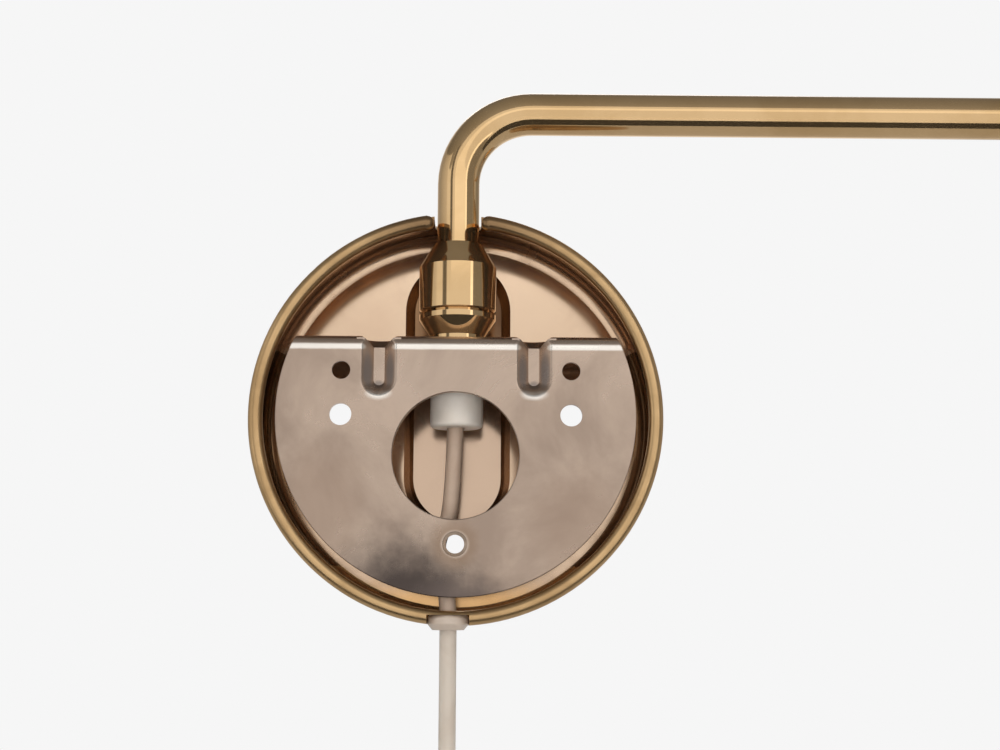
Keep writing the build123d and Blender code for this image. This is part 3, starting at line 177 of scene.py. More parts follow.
class Effects:
    """Shader node groups that the finishes share, each of which puts out a mask."""

    def __init__(self) -> None:
        """Build each group once."""
        self.smudges = self._smudges()
        self.strokes = self._strokes()
        self.lathe = self._lathe()
        self.grain = self._grain()
        self.spot = self._spot()

    @staticmethod
    def _open(name: str, vectors: list[str], numbers: list[str]) -> tuple[Tree, bpy.types.NodeOutputs, Socket]:
        """Start a group.

        Args:
            name: Name of the group.
            vectors: Names of its vector inputs.
            numbers: Names of its number inputs.

        Returns:
            The group's tree, what it is given, and the socket for its mask.
        """
        group = bpy.data.node_groups.new(name, "ShaderNodeTree")
        for label in vectors:
            group.interface.new_socket(label, in_out="INPUT", socket_type="NodeSocketVector")
        for label in numbers:
            group.interface.new_socket(label, in_out="INPUT", socket_type="NodeSocketFloat")
        group.interface.new_socket("Mask", in_out="OUTPUT", socket_type="NodeSocketFloat")
        tree = Tree(group)
        return tree, tree.add("NodeGroupInput").outputs, tree.add("NodeGroupOutput").inputs["Mask"]

    def _smudges(self) -> bpy.types.NodeTree:
        """Make soft cloudy marks, as handling and plating leave them; on the cup's folds and low wall they are
        painted shade and painted reflections.

        Returns:
            The group.
        """
        tree, given, mask = self._open("soft_smudges", ["Vector"], ["Scale", "Detail"])
        cloud = tree.add("ShaderNodeTexNoise", {"Vector": given["Vector"], "Scale": given["Scale"],
                                                "Detail": given["Detail"], "Roughness": 0.6, "Distortion": 0.5})
        tree.join(tree.fade(cloud.outputs[0], start=0.36, end=0.68, low=0.0, high=1.0), mask)
        return tree.tree

    def _strokes(self) -> bpy.types.NodeTree:
        """Make the fine drawn-out lines of polishing and rolling.

        Returns:
            The group.
        """
        tree, given, mask = self._open("fine_strokes", ["Vector", "Stretch"], ["Scale"])
        drawn = tree.vector("MULTIPLY", given["Vector"], given["Stretch"])
        lines = tree.add("ShaderNodeTexNoise", {"Vector": drawn, "Scale": given["Scale"], "Detail": 3.0,
                                                "Roughness": 0.65})
        tree.join(lines.outputs[0], mask)
        return tree.tree

    def _lathe(self) -> bpy.types.NodeTree:
        """Make the rings that a lathe leaves about the Z axis of the given coordinates.

        Returns:
            The group.
        """
        tree, given, mask = self._open("lathe_rings", ["Vector"], ["Scale"])
        apart = tree.add("ShaderNodeSeparateXYZ", {0: given["Vector"]}).outputs
        flat = tree.add("ShaderNodeCombineXYZ", {"X": apart["X"], "Y": apart["Y"]})
        place = tree.add("ShaderNodeCombineXYZ", {"X": tree.length(flat.outputs[0]), "Y": apart["Z"]})
        rings = tree.add("ShaderNodeTexNoise", {"Vector": place.outputs[0], "Scale": given["Scale"], "Detail": 2.0,
                                                "Roughness": 0.7}, noise_dimensions="2D")
        tree.join(rings.outputs[0], mask)
        return tree.tree

    def _grain(self) -> bpy.types.NodeTree:
        """Make the very fine grain of a moulded or etched surface.

        Returns:
            The group.
        """
        tree, given, mask = self._open("moulded_grain", ["Vector"], ["Scale"])
        grain = tree.add("ShaderNodeTexNoise", {"Vector": given["Vector"], "Scale": given["Scale"], "Detail": 4.0,
                                                "Roughness": 0.75})
        tree.join(grain.outputs[0], mask)
        return tree.tree

    def _spot(self) -> bpy.types.NodeTree:
        """Make one soft mark round a place, with an uneven edge.

        Returns:
            The group.
        """
        tree, given, mask = self._open("soft_spot", ["Vector", "Place", "Reach"], ["Core", "Strength", "Waver"])
        apart = tree.vector("SUBTRACT", given["Vector"], given["Place"])
        away = tree.length(tree.vector("DIVIDE", apart, given["Reach"]))
        cloud = tree.add("ShaderNodeTexNoise", {"Vector": given["Vector"], "Scale": 180.0, "Detail": 5.0,
                                                "Roughness": 0.6})
        cloud_middle = 0.5
        waver = tree.math("MULTIPLY", tree.math("SUBTRACT", cloud.outputs[0], cloud_middle), given["Waver"])
        spot = tree.fade(tree.math("ADD", away, waver), start=given["Core"], end=1.0, low=1.0, high=0.0)
        tree.join(tree.math("MULTIPLY", spot, given["Strength"]), mask)
        return tree.tree


@dataclass(frozen=True)
class StainAndLightMark:
    """A soft mark at one place of a piece, with its place and reach in millimetres; most are painted light and
    shade.
    """

    place: Triple
    reach: Triple
    colour: Colour
    strength: float
    core: float = 0.3
    waver: float = 0.5


@dataclass(frozen=True)
class Finish:
    """What every finish has: its colours, smudges, marks of painted light, shade and stain, and fine texture."""

    name: str
    colour: Colour
    # Second colour mixed in by the smudges: wear, and on the cup's folds and low wall painted shade and reflections.
    worn_and_shade_colour: Colour
    roughness: float
    worn_roughness: float
    smudge_scale: float
    smudge_detail: float
    texture_depth: float
    grain_scale: float = 2400.0
    stains_and_light: tuple[StainAndLightMark, ...] = ()

    def make(self, effects: Effects) -> bpy.types.Material:
        """Make the material.

        Args:
            effects: The shared groups.

        Returns:
            The material.
        """
        material = bpy.data.materials.new(self.name)
        material.use_nodes = True
        tree = Tree(material.node_tree)
        shader = material.node_tree.nodes["Principled BSDF"]
        place = tree.add("ShaderNodeTexCoord").outputs["Object"]
        self._smudge(tree, effects, shader, place)
        self._set(shader)
        bump = tree.add("ShaderNodeBump", {"Strength": 1.0, "Distance": self.texture_depth,
                                           "Height": self._texture(tree, effects, place)})
        tree.join(bump.outputs["Normal"], shader.inputs["Normal"])
        return material

    def _smudge(self, tree: Tree, effects: Effects, shader: bpy.types.Node, place: Socket) -> None:
        """Give the shader its two colours and roughnesses, mixed by smudges, and its painted light, shade and stain
        marks.

        Args:
            tree: Tree of the material.
            effects: The shared groups.
            shader: The surface shader.
            place: Coordinates in the piece's own frame.
        """
        smudges = tree.add("ShaderNodeGroup", {"Vector": place, "Scale": self.smudge_scale,
                                               "Detail": self.smudge_detail}, node_tree=effects.smudges)
        mask = smudges.outputs["Mask"]
        colour = tree.blend(mask, self.colour, self.worn_and_shade_colour)
        # Marks of painted highlight, painted shade and stain are blended over the colour one by one.
        for stain_and_light in self.stains_and_light:
            spot = tree.add("ShaderNodeGroup", {
                "Vector": place, "Place": Vector(stain_and_light.place) * MM, "Reach": Vector(stain_and_light.reach) * MM,
                "Core": stain_and_light.core, "Strength": stain_and_light.strength, "Waver": stain_and_light.waver}, node_tree=effects.spot)
            colour = tree.blend(spot.outputs["Mask"], colour, stain_and_light.colour)
        tree.join(colour, shader.inputs["Base Color"])
        tree.join(tree.remap(mask, self.roughness, self.worn_roughness), shader.inputs["Roughness"])

    def _set(self, shader: bpy.types.Node) -> None:
        """Set what this kind of finish adds to the shader, here nothing."""

    def _texture(self, tree: Tree, effects: Effects, place: Socket) -> Socket:
        """Add the fine relief, here a moulded or etched grain.

        Args:
            tree: Tree of the material.
            effects: The shared groups.
            place: Coordinates in the piece's own frame.

        Returns:
            The relief's height, from 0 to 1.
        """
        grain = tree.add("ShaderNodeGroup", {"Vector": place, "Scale": self.grain_scale}, node_tree=effects.grain)
        return grain.outputs["Mask"]


@dataclass(frozen=True)
class DrawnMetal(Finish):
    """Metal with fine lines drawn along one direction."""

    stretch: Triple = (1.0, 1.0, 1.0)
    line_scale: float = 2400.0
    metallic: float = 0.95

    def _set(self, shader: bpy.types.Node) -> None:
        """Make the surface metal."""
        shader.inputs["Metallic"].default_value = self.metallic

    def _texture(self, tree: Tree, effects: Effects, place: Socket) -> Socket:
        """Add the drawn lines.

        Args:
            tree: Tree of the material.
            effects: The shared groups.
            place: Coordinates in the piece's own frame.

        Returns:
            The lines' height, from 0 to 1.
        """
        lines = tree.add("ShaderNodeGroup", {"Vector": place, "Stretch": self.stretch, "Scale": self.line_scale},
                         node_tree=effects.strokes)
        return lines.outputs["Mask"]


@dataclass(frozen=True)
class SpunMetal(Finish):
    """Metal spun or turned about an axis, with rings round it, bare or lacquered."""

    axis_from: Triple = (0.0, 0.0, 0.0)
    tip_deg: float = 0.0
    ring_scale: float = 900.0
    metallic: float = 0.95

    def _set(self, shader: bpy.types.Node) -> None:
        """Make the surface metal, or the lacquer on it."""
        shader.inputs["Metallic"].default_value = self.metallic

    def _texture(self, tree: Tree, effects: Effects, place: Socket) -> Socket:
        """Add the rings.

        Args:
            tree: Tree of the material.
            effects: The shared groups.
            place: Coordinates in the piece's own frame.

        Returns:
            The rings' height, from 0 to 1.
        """
        moved = tree.vector("SUBTRACT", place, self.axis_from)
        turned = tree.add("ShaderNodeVectorRotate", {"Vector": moved, "Angle": math.radians(self.tip_deg)},
                          rotation_type="X_AXIS")
        rings = tree.add("ShaderNodeGroup", {"Vector": turned.outputs[0], "Scale": self.ring_scale},
                         node_tree=effects.lathe)
        return rings.outputs["Mask"]


@dataclass(frozen=True)
class Moulding(Finish):
    """Moulded plastic, in which light spreads a little."""

    glow: float = 0.08
    glow_reach: Triple = (3.0 * MM, 2.0 * MM, 1.5 * MM)

    def _set(self, shader: bpy.types.Node) -> None:
        """Let light spread under the surface."""
        shader.inputs["Subsurface Weight"].default_value = self.glow
        shader.inputs["Subsurface Radius"].default_value = self.glow_reach


@dataclass(frozen=True)
class FrostedGlass(Finish):
    """Opal glass with an etched surface."""

    transmission: float = 0.55
    refraction: float = 1.45

    def _set(self, shader: bpy.types.Node) -> None:
        """Let light through."""
        shader.inputs["Transmission Weight"].default_value = self.transmission
        shader.inputs["IOR"].default_value = self.refraction


SLOT_FINISHES: dict[Slot, Finish] = {
    Slot.BRASS: DrawnMetal(
        "brass_polished", colour=(0.75, 0.51, 0.265), worn_and_shade_colour=(0.68, 0.45, 0.22),
        roughness=0.05, worn_roughness=0.10, smudge_scale=45.0, smudge_detail=4.0,
        texture_depth=1.2 * MICRON, stretch=(0.06, 1.0, 1.0), line_scale=1800.0),
    Slot.STEEL: DrawnMetal(
        "steel_plated", colour=(0.52, 0.40, 0.315), worn_and_shade_colour=(0.43, 0.335, 0.27),
        roughness=0.30, worn_roughness=0.42, smudge_scale=38.0, smudge_detail=6.0,
        texture_depth=4.0 * MICRON, stretch=(1.0, 1.0, 0.05)),
    Slot.NICKEL: DrawnMetal(
        "nickel_bright", colour=(0.70, 0.67, 0.62), worn_and_shade_colour=(0.58, 0.55, 0.50),
        roughness=0.14, worn_roughness=0.26, smudge_scale=120.0, smudge_detail=4.0,
        texture_depth=3.0 * MICRON, stretch=(1.0, 1.0, 0.1)),
    Slot.PLASTIC: Moulding(
        "plastic_white", colour=(0.80, 0.735, 0.665), worn_and_shade_colour=(0.74, 0.67, 0.59),
        roughness=0.30, worn_roughness=0.42, smudge_scale=70.0, smudge_detail=5.0,
        texture_depth=10.0 * MICRON),
    Slot.FLEX: Moulding(
        "flex_white", colour=(0.58, 0.51, 0.435), worn_and_shade_colour=(0.52, 0.445, 0.37),
        roughness=0.36, worn_roughness=0.50, smudge_scale=55.0, smudge_detail=5.0,
        texture_depth=14.0 * MICRON),
    Slot.NYLON: Moulding(
        "nylon_milky", colour=(0.80, 0.77, 0.70), worn_and_shade_colour=(0.74, 0.70, 0.62),
        roughness=0.45, worn_roughness=0.55, smudge_scale=160.0, smudge_detail=4.0,
        texture_depth=10.0 * MICRON, glow=0.15),
    Slot.GLASS: FrostedGlass(
        "glass_opal", colour=(0.90, 0.885, 0.85), worn_and_shade_colour=(0.86, 0.84, 0.80),
        roughness=0.34, worn_roughness=0.42, smudge_scale=60.0, smudge_detail=4.0,
        texture_depth=12.0 * MICRON),
}


class PaintShop:
    """Makes the finish of each slot and coats the lamp's pieces."""

    def __init__(self, effects: Effects) -> None:
        """Make one material for each slot.

        Args:
            effects: The shared groups.
        """
        self.effects = effects
        self.by_slot = {slot: finish.make(effects) for slot, finish in SLOT_FINISHES.items()}

    def coat(self, piece: bpy.types.Object, material: bpy.types.Material) -> None:
        """Give a whole piece one material."""
        piece.data.materials.clear()
        piece.data.materials.append(material)

    def coat_node(self, node: str, finish: Finish) -> None:
        """Give a piece of the frame a finish of its own."""
        self.coat(frame["nodes"][node], finish.make(self.effects))

    def coat_frame(self) -> None:
        """Give each piece of the frame the material of its slot."""
        for part in frame["record"]["subparts"]:
            slot = Slot(part["material_slot"])
            self.coat(frame["nodes"][part["node"]], self.by_slot[slot])
            LOG.info("coated %s with %s", part["node"], slot.value)

    def coat_faces(self, node: str, finishes: dict[Enum, Finish], kind_of: Callable[[Vector, Vector], Enum]) -> None:
        """Give the faces of a piece different finishes.

        Args:
            node: Name of the piece.
            finishes: The finish of each kind of face.
            kind_of: Tells the kind of a face from its middle and its normal.
        """
        mesh = frame["nodes"][node].data
        mesh.materials.clear()
        for finish in finishes.values():
            mesh.materials.append(finish.make(self.effects))
        order = list(finishes)
        for face in mesh.polygons:
            face.material_index = order.index(kind_of(face.center, face.normal))


class CupFace(Enum):
    """Kinds of face on the wall cup."""

    OUTSIDE = "outside"
    RIM = "rim"
    FLOOR = "floor"
    CORNER = "corner"
    FOLD = "fold"
    LOW_WALL = "low_wall"


@dataclass
class WallCup:
    """The spun cup: bright outside, with a dull rosy floor, painted shade in its folds and painted reflections low
    inside.
    """

    rim_depth: float = 4.2 * MM
    floor_depth: float = 26.1 * MM
    wall: float = 0.8 * MM
    low_wall: float = 40.0 * MM
    corner_depth: float = 21.5 * MM
    corner_width: float = 5.5 * MM
    corner_low: float = 21.0 * MM
    flat: float = 0.9985
    tip_deg: float = 90.0

    def __post_init__(self) -> None:
        """Take the cup's radius from the frame."""
        low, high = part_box("wall_cup")
        self.radius = (high.x - low.x) / 2

    def _kind(self, middle: Vector, normal: Vector) -> CupFace:
        """Tell the kind of a face.

        Args:
            middle: Middle of the face.
            normal: Its normal.

        Returns:
            Its kind.
        """
        across = Vector((middle.x, 0.0, middle.z))
        looks_in = across.dot(normal) < 0.0
        if middle.y > -self.rim_depth:
            return CupFace.RIM
        if across.length > self.radius - self.wall:
            return CupFace.OUTSIDE
        if normal.y > self.flat:
            return CupFace.FLOOR
        in_corner = middle.y < -self.corner_depth and across.length > self.radius - self.corner_width
        if in_corner and normal.y > 0.0 and middle.z > self.corner_low:
            return CupFace.CORNER
        if looks_in and middle.z < -self.low_wall:
            return CupFace.LOW_WALL
        if normal.y > 0.0 or (looks_in and middle.y > -self.floor_depth):
            return CupFace.FOLD
        return CupFace.OUTSIDE

    @staticmethod
    def _rim_marks() -> tuple[StainAndLightMark, ...]:
        """List the marks of the rolled rim: painted shade darkens it at the top."""
        # Painted shade on the rim's top.
        return (StainAndLightMark((0.0, 0.0, 62.0), (52.0, 20.0, 20.0), (0.28, 0.17, 0.085), 0.95, core=0.4, waver=0.2),)

    @staticmethod
    def _floor_marks() -> tuple[StainAndLightMark, ...]:
        """List the marks of the floor.

        Returns:
            Painted shade over the pocket's top, painted light on one side of it and painted shade on the other,
            painted light on its low end, and a painted warm reflection along the low edge.
        """
        return (
            # Painted shade and light in the pocket, and a painted warm reflection on the low edge.
            StainAndLightMark((0.0, -29.8, 42.0), (34.0, 3.7, 36.0), (0.19, 0.10, 0.048), 0.92, core=0.72, waver=0.2),
            StainAndLightMark((15.0, -29.8, 38.0), (9.0, 3.7, 26.0), (0.32, 0.18, 0.09), 0.7),
            StainAndLightMark((-15.0, -29.8, 38.0), (9.0, 3.7, 26.0), (0.09, 0.04, 0.018), 0.8),
            StainAndLightMark((0.0, -29.5, -12.0), (19.5, 3.4, 26.0), (0.62, 0.45, 0.33), 0.8, core=0.7, waver=0.2),
            StainAndLightMark((0.0, -26.0, -58.0), (60.0, 6.0, 17.0), (0.84, 0.50, 0.22), 0.95, core=0.5, waver=0.3),
        )

    @staticmethod
    def _fold_marks() -> tuple[StainAndLightMark, ...]:
        """List the marks of the folds.

        Returns:
            A band of painted reflected light round the wall, and painted light on the pocket's low lip and on one
            side of it.
        """
        return (
            # Painted reflected light on the wall, and painted light in the pocket.
            StainAndLightMark((0.0, -16.5, 30.0), (1000.0, 7.0, 75.0), (0.62, 0.40, 0.23), 0.85, waver=0.3),
            StainAndLightMark((0.0, -26.2, -12.0), (30.0, 2.1, 30.0), (0.66, 0.47, 0.33), 0.95, core=0.8, waver=0.1),
            StainAndLightMark((17.0, -27.5, 38.0), (9.0, 5.0, 26.0), (0.46, 0.28, 0.15), 0.8),
        )

    def _finishes(self) -> dict[Enum, Finish]:
        """Choose the finish of each kind of face.

        Returns:
            The finishes.
        """
        return {
            CupFace.OUTSIDE: SpunMetal(
                "brass_spun_cup", colour=(0.66, 0.45, 0.24), worn_and_shade_colour=(0.57, 0.375, 0.19),
                roughness=0.10, worn_roughness=0.18, smudge_scale=45.0, smudge_detail=4.0,
                texture_depth=2.0 * MICRON, tip_deg=self.tip_deg),
            CupFace.RIM: SpunMetal(
                "brass_cup_rim", colour=(0.65, 0.43, 0.215), worn_and_shade_colour=(0.54, 0.345, 0.165),
                roughness=0.28, worn_roughness=0.38, smudge_scale=60.0, smudge_detail=5.0,
                texture_depth=2.0 * MICRON, stains_and_light=self._rim_marks(), tip_deg=self.tip_deg, metallic=0.98),
            CupFace.FLOOR: SpunMetal(
                "brass_cup_floor", colour=(0.82, 0.60, 0.42), worn_and_shade_colour=(0.73, 0.52, 0.36),
                roughness=0.11, worn_roughness=0.19, smudge_scale=32.0, smudge_detail=6.0,
                texture_depth=1.5 * MICRON, stains_and_light=self._floor_marks(), tip_deg=self.tip_deg),
            CupFace.CORNER: SpunMetal(
                "brass_cup_corner", colour=(0.80, 0.57, 0.39), worn_and_shade_colour=(0.68, 0.47, 0.31),
                roughness=0.20, worn_roughness=0.30, smudge_scale=60.0, smudge_detail=6.0,
                texture_depth=2.0 * MICRON, tip_deg=self.tip_deg),
            # Painted shade: the cup's inner wall and folds are coloured dark brown for the shade inside the cup.
            CupFace.FOLD: SpunMetal(
                "brass_cup_fold_painted_shade", colour=(0.30, 0.17, 0.085), worn_and_shade_colour=(0.20, 0.105, 0.05),
                roughness=0.16, worn_roughness=0.26, smudge_scale=60.0, smudge_detail=6.0,
                texture_depth=2.0 * MICRON, stains_and_light=self._fold_marks(), tip_deg=self.tip_deg),
            # Painted reflection: the low inner wall is bright gold with dark painted reflection patches.
            CupFace.LOW_WALL: SpunMetal(
                "brass_cup_low_wall_painted_glint", colour=(0.86, 0.54, 0.24), worn_and_shade_colour=(0.45, 0.24, 0.10),
                roughness=0.14, worn_roughness=0.24, smudge_scale=110.0, smudge_detail=5.0,
                texture_depth=2.0 * MICRON, tip_deg=self.tip_deg),
        }

    def dress(self, shop: PaintShop) -> None:
        """Coat the cup."""
        shop.coat_faces("wall_cup", self._finishes(), self._kind)
        LOG.info("dressed the wall cup")


@dataclass
class MountingPlate:
    """The plated steel plate, with dark and grey patches, painted shade and painted highlights (in millimetres)."""

    rib_x: float = 21.2
    rib_foot: float = 5.8
    rib_wall: float = 3.5
    rib_middle: float = 12.0
    dimple: float = 8.4
    bend_low: float = 18.7
    low_hole: float = -34.8
    skin: float = 10.0
    # Colour of the painted highlights on the bend and on the ribs' lips.
    bright: Colour = (1.0, 0.94, 0.86)
    brown: Colour = (0.38, 0.272, 0.205)

    def _rib_marks(self) -> list[StainAndLightMark]:
        """List the marks of both ribs.

        Returns:
            Painted shade on their walls and in the dimples at their feet, and painted highlights on the lips below
            these.
        """
        middles = (-self.rib_x, self.rib_x)
        # Painted shade on the rib walls and in the dimples; painted highlights on the lips.
        walls = [StainAndLightMark((x + wall, -2.4, self.rib_middle), (2.3, 2.6, 8.0), (0.33, 0.30, 0.285), 0.85,
                       core=0.5, waver=0.2) for x in middles for wall in (-self.rib_wall, self.rib_wall)]
        dimples = [StainAndLightMark((x, -3.0, self.dimple), (2.2, 3.0, 1.8), (0.24, 0.20, 0.18), 0.8) for x in middles]
        lips = [StainAndLightMark((x, 0.0, self.rib_foot), (4.4, 2.0, 2.2), self.bright, 0.95, waver=0.3) for x in middles]
        return walls + dimples + lips

    def _marks(self) -> tuple[StainAndLightMark, ...]:
        """List the plate's marks.

        Returns:
            The near-black patch low on the plate and its trail, the darker ring round the low hole, the painted
            highlight on its rim, the darker brown sides, the grey middle, the painted highlight along the bend and
            the ribs' painted shade and highlights, in the order in which they cover each other.
        """
        hole = (0.0, 0.0, self.low_hole)
        return (
            StainAndLightMark((13.0, 0.0, -49.0), (29.0, self.skin, 23.0), (0.085, 0.066, 0.058), 1.0, core=0.2, waver=0.45),
            StainAndLightMark((-2.0, 0.0, -49.0), (18.0, self.skin, 8.0), (0.16, 0.125, 0.11), 0.8, core=0.1, waver=0.6),
            # A darker ring round the low hole, then a painted highlight on its rim.
            StainAndLightMark(hole, (8.5, 6.0, 8.5), (0.33, 0.225, 0.155), 0.7, core=0.4),
            StainAndLightMark(hole, (4.2, 3.0, 4.2), (0.84, 0.72, 0.61), 0.85, core=0.6, waver=0.2),
            StainAndLightMark((36.0, 0.0, -24.0), (16.0, self.skin, 22.0), self.brown, 0.6),
            StainAndLightMark((-34.0, 0.0, -30.0), (20.0, self.skin, 20.0), self.brown, 0.6),
            StainAndLightMark((4.0, 0.0, 10.0), (26.0, self.skin, 12.0), (0.54, 0.42, 0.335), 0.4),
            # Painted highlight along the bend.
            StainAndLightMark((0.0, 0.0, self.bend_low), (500.0, 1.6, 1.1), self.bright, 0.9, core=0.4, waver=0.3),
            *self._rib_marks(),
        )

    def dress(self, shop: PaintShop) -> None:
        """Coat the plate.

        Args:
            shop: The finishes.
        """
        shop.coat_node("mounting_plate", DrawnMetal(
            "steel_plate", colour=(0.54, 0.415, 0.325), worn_and_shade_colour=(0.40, 0.30, 0.235),
            roughness=0.24, worn_roughness=0.40, smudge_scale=30.0, smudge_detail=8.0,
            texture_depth=6.0 * MICRON, stains_and_light=self._marks(), stretch=(1.0, 1.0, 0.06)))
        LOG.info("dressed the mounting plate")


class ShadeFace(Enum):
    """Kinds of face on the shade."""

    OUTSIDE = "outside"
    INSIDE = "inside"


@dataclass
class Shade:
    """The spun bell shade, lacquered white inside."""

    bead_height: float = 3.0 * MM
    facing_down: float = -0.5

    def __post_init__(self) -> None:
        """Take the shade's axis and lower edge from the frame."""
        low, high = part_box("shade")
        self.axis = (low + high) / 2
        self.low = low.z

    def _kind(self, middle: Vector, normal: Vector) -> ShadeFace:
        """Tell the kind of a face.

        Args:
            middle: Middle of the face.
            normal: Its normal.

        Returns:
            Its kind.
        """
        across = Vector((middle.x - self.axis.x, middle.y - self.axis.y, 0.0))
        looks_in = across.dot(normal) < 0.0 or normal.z < self.facing_down
        return ShadeFace.INSIDE if looks_in and middle.z > self.low + self.bead_height else ShadeFace.OUTSIDE

    def dress(self, shop: PaintShop) -> None:
        """Coat the shade.

        Args:
            shop: The finishes.
        """
        axis = tuple(self.axis)
        finishes: dict[Enum, Finish] = {
            ShadeFace.OUTSIDE: SpunMetal(
                "brass_spun_shade", colour=(0.75, 0.51, 0.265), worn_and_shade_colour=(0.68, 0.45, 0.22),
                roughness=0.08, worn_roughness=0.14, smudge_scale=30.0, smudge_detail=4.0,
                texture_depth=3.0 * MICRON, axis_from=axis),
            ShadeFace.INSIDE: SpunMetal(
                "lacquer_white_shade", colour=(0.86, 0.84, 0.79), worn_and_shade_colour=(0.80, 0.775, 0.72),
                roughness=0.28, worn_roughness=0.40, smudge_scale=40.0, smudge_detail=4.0,
                texture_depth=6.0 * MICRON, axis_from=axis, metallic=0.0),
        }
        shop.coat_faces("shade", finishes, self._kind)
        LOG.info("dressed the shade")


@dataclass
class CordSet:
    """The cord in the cup, and the free cord with its switch, coil and plug."""

    diameter: float = 4.6 * MM
    from_wall: float = 5.7 * MM
    swivel_from_wall: float = 13.5 * MM
    seat_top: float = 35.05 * MM
    grip_end: float = -24.5 * MM
    bow_top: Triple = (4.8 * MM, -10.6 * MM, -32.5 * MM)
    bow_low: Triple = (4.8 * MM, -8.6 * MM, -38.0 * MM)
    cup_exit: float = -48.0 * MM
    lead_run: float = 30.0 * MM
    lead_turn: float = 50.0
    coil_radius: float = 33.0 * MM
    coil_pitch: float = 5.9 * MM
    layer_pitch: float = 5.4 * MM
    layers: int = 4
    layer_turns: float = 2.0
    climb_turns: float = 0.5
    points_per_turn: int = 16
    length: float = 1.71
    ring_sides: int = 12
    line_steps: int = 8

    def __post_init__(self) -> None:
        """Take the ends of the cord's runs from the frame."""
        low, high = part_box("drop_cord")
        self.exit = Vector(((low.x + high.x) / 2, -self.from_wall, high.z))
        self.switch_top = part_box("switch_base")[1].z
        self.switch_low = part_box("switch_base")[0].z
        self.plug_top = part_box("plug_body")[1].z

    def _curve(self, name: str, points: list[Vector]) -> bpy.types.Object:
        """Make a cord along control points.

        Args:
            name: Name of the piece.
            points: Control points of its line.

        Returns:
            The cord.
        """
        curve = bpy.data.curves.new(name, "CURVE")
        curve.dimensions = "3D"
        curve.bevel_depth = self.diameter / 2
        curve.bevel_resolution = self.ring_sides // 4
        curve.use_fill_caps = True
        line = curve.splines.new("NURBS")
        line.points.add(len(points) - 1)
        for knot, point in zip(line.points, points):
            knot.co = (*point, 1.0)
        line.order_u = 3
        line.use_endpoint_u = True
        line.resolution_u = self.line_steps
        piece = bpy.data.objects.new(name, curve)
        bpy.context.scene.collection.objects.link(piece)
        return piece

    def _coil_stages(self) -> list[Triple]:
        """List the coil's stages: its layers, wound in and out by turns, and the climbs between them.

        Returns:
            For each stage its turns, how much its radius grows in a turn, and how far it climbs.
        """
        last_turns = self.layer_turns - self.climb_turns + self.lead_turn / 360.0
        stages: list[Triple] = []
        for layer in range(self.layers):
            growth = self.coil_pitch if layer % 2 else -self.coil_pitch
            if layer == self.layers - 1:
                stages.append((last_turns, growth, 0.0))
            else:
                stages += [(self.layer_turns, growth, 0.0), (self.climb_turns, 0.0, self.layer_pitch)]
        return stages

    def _coil_points(self, start: Vector) -> list[Vector]:
        """Find the control points of the coil.

        Args:
            start: Point of the coil's first turn.

        Returns:
            The control points.
        """
        turn = math.radians(self.lead_turn)
        middle = start - Vector((math.cos(turn), 0.0, math.sin(turn))) * self.coil_radius
        outset = 1.0 / math.cos(math.pi / self.points_per_turn)
        points: list[Vector] = []
        turns, radius, depth = 0.0, self.coil_radius, start.y
        for span, growth, climb in self._coil_stages():
            steps = math.ceil(span * self.points_per_turn)
            for step in range(steps):
                share = step / steps
                eased = share * share * (3.0 - 2.0 * share)
                angle = turn - 2.0 * math.pi * (turns + span * share)
                reach = (radius + growth * span * share) * outset
                points.append(middle + Vector((reach * math.cos(angle), 0.0, reach * math.sin(angle))))
                points[-1].y = depth - climb * eased
            turns, radius, depth = turns + span, radius + growth * span, depth - climb
        points.append(Vector((middle.x + radius, depth, middle.z)))
        return points

    def _free_points(self) -> list[Vector]:
        """Find the control points of the free cord, from the grommet to the plug.

        Returns:
            The control points.
        """
        turn = math.radians(self.lead_turn)
        heading = Vector((math.sin(turn), 0.0, -math.cos(turn)))
        corner = Vector((self.exit.x, -self.from_wall, self.switch_low - self.lead_run))
        first_turn = corner + heading * self.lead_run
        coil = self._coil_points(first_turn)
        end = coil[-1]
        return [
            self.exit,
            Vector((self.exit.x, -self.from_wall, self.switch_top)),
            Vector((self.exit.x, -self.from_wall, self.switch_low)),
            corner,
            first_turn - heading * self.diameter,
            *coil,
            end - Vector((0.0, 0.0, self.diameter)),
            Vector((end.x, end.y, self.plug_top)),
        ]

    def _inner_points(self) -> list[Vector]:
        """Find the control points of the cord in the cup, from the swivel to the grommet.

        Returns:
            The control points.
        """
        return [
            Vector((0.0, -self.swivel_from_wall, self.seat_top)),
            Vector((0.0, -self.swivel_from_wall, self.grip_end)),
            Vector(self.bow_top),
            Vector(self.bow_low),
            Vector((self.exit.x, -self.from_wall, self.cup_exit)),
            self.exit,
        ]

    def build(self, shop: PaintShop) -> None:
        """Build both cords and coat the grommet between them; the cup's cord and the grommet get painted shade.

        Args:
            shop: The finishes.
        """
        inner = self._curve("cup_flex", self._inner_points())
        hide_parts("cup_cord")
        free = self._curve("free_flex", self._free_points())
        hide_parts("drop_cord", "lead_cord", "cord_coil", "tail_cord")
        # Painted shade: the cord in the cup gets a darker, browner copy of the flex colour, with warm painted
        # reflected light.
        flex_painted_shade = Moulding(
            "flex_in_cup_painted_shade", colour=(0.56, 0.42, 0.32), worn_and_shade_colour=(0.48, 0.345, 0.255),
            roughness=0.36, worn_roughness=0.50, smudge_scale=55.0, smudge_detail=5.0,
            texture_depth=14.0 * MICRON)
        for piece, material in ((inner, flex_painted_shade.make(shop.effects)), (free, shop.by_slot[Slot.FLEX])):
            shop.coat(piece, material)
            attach(piece, Body.ROSE.value)
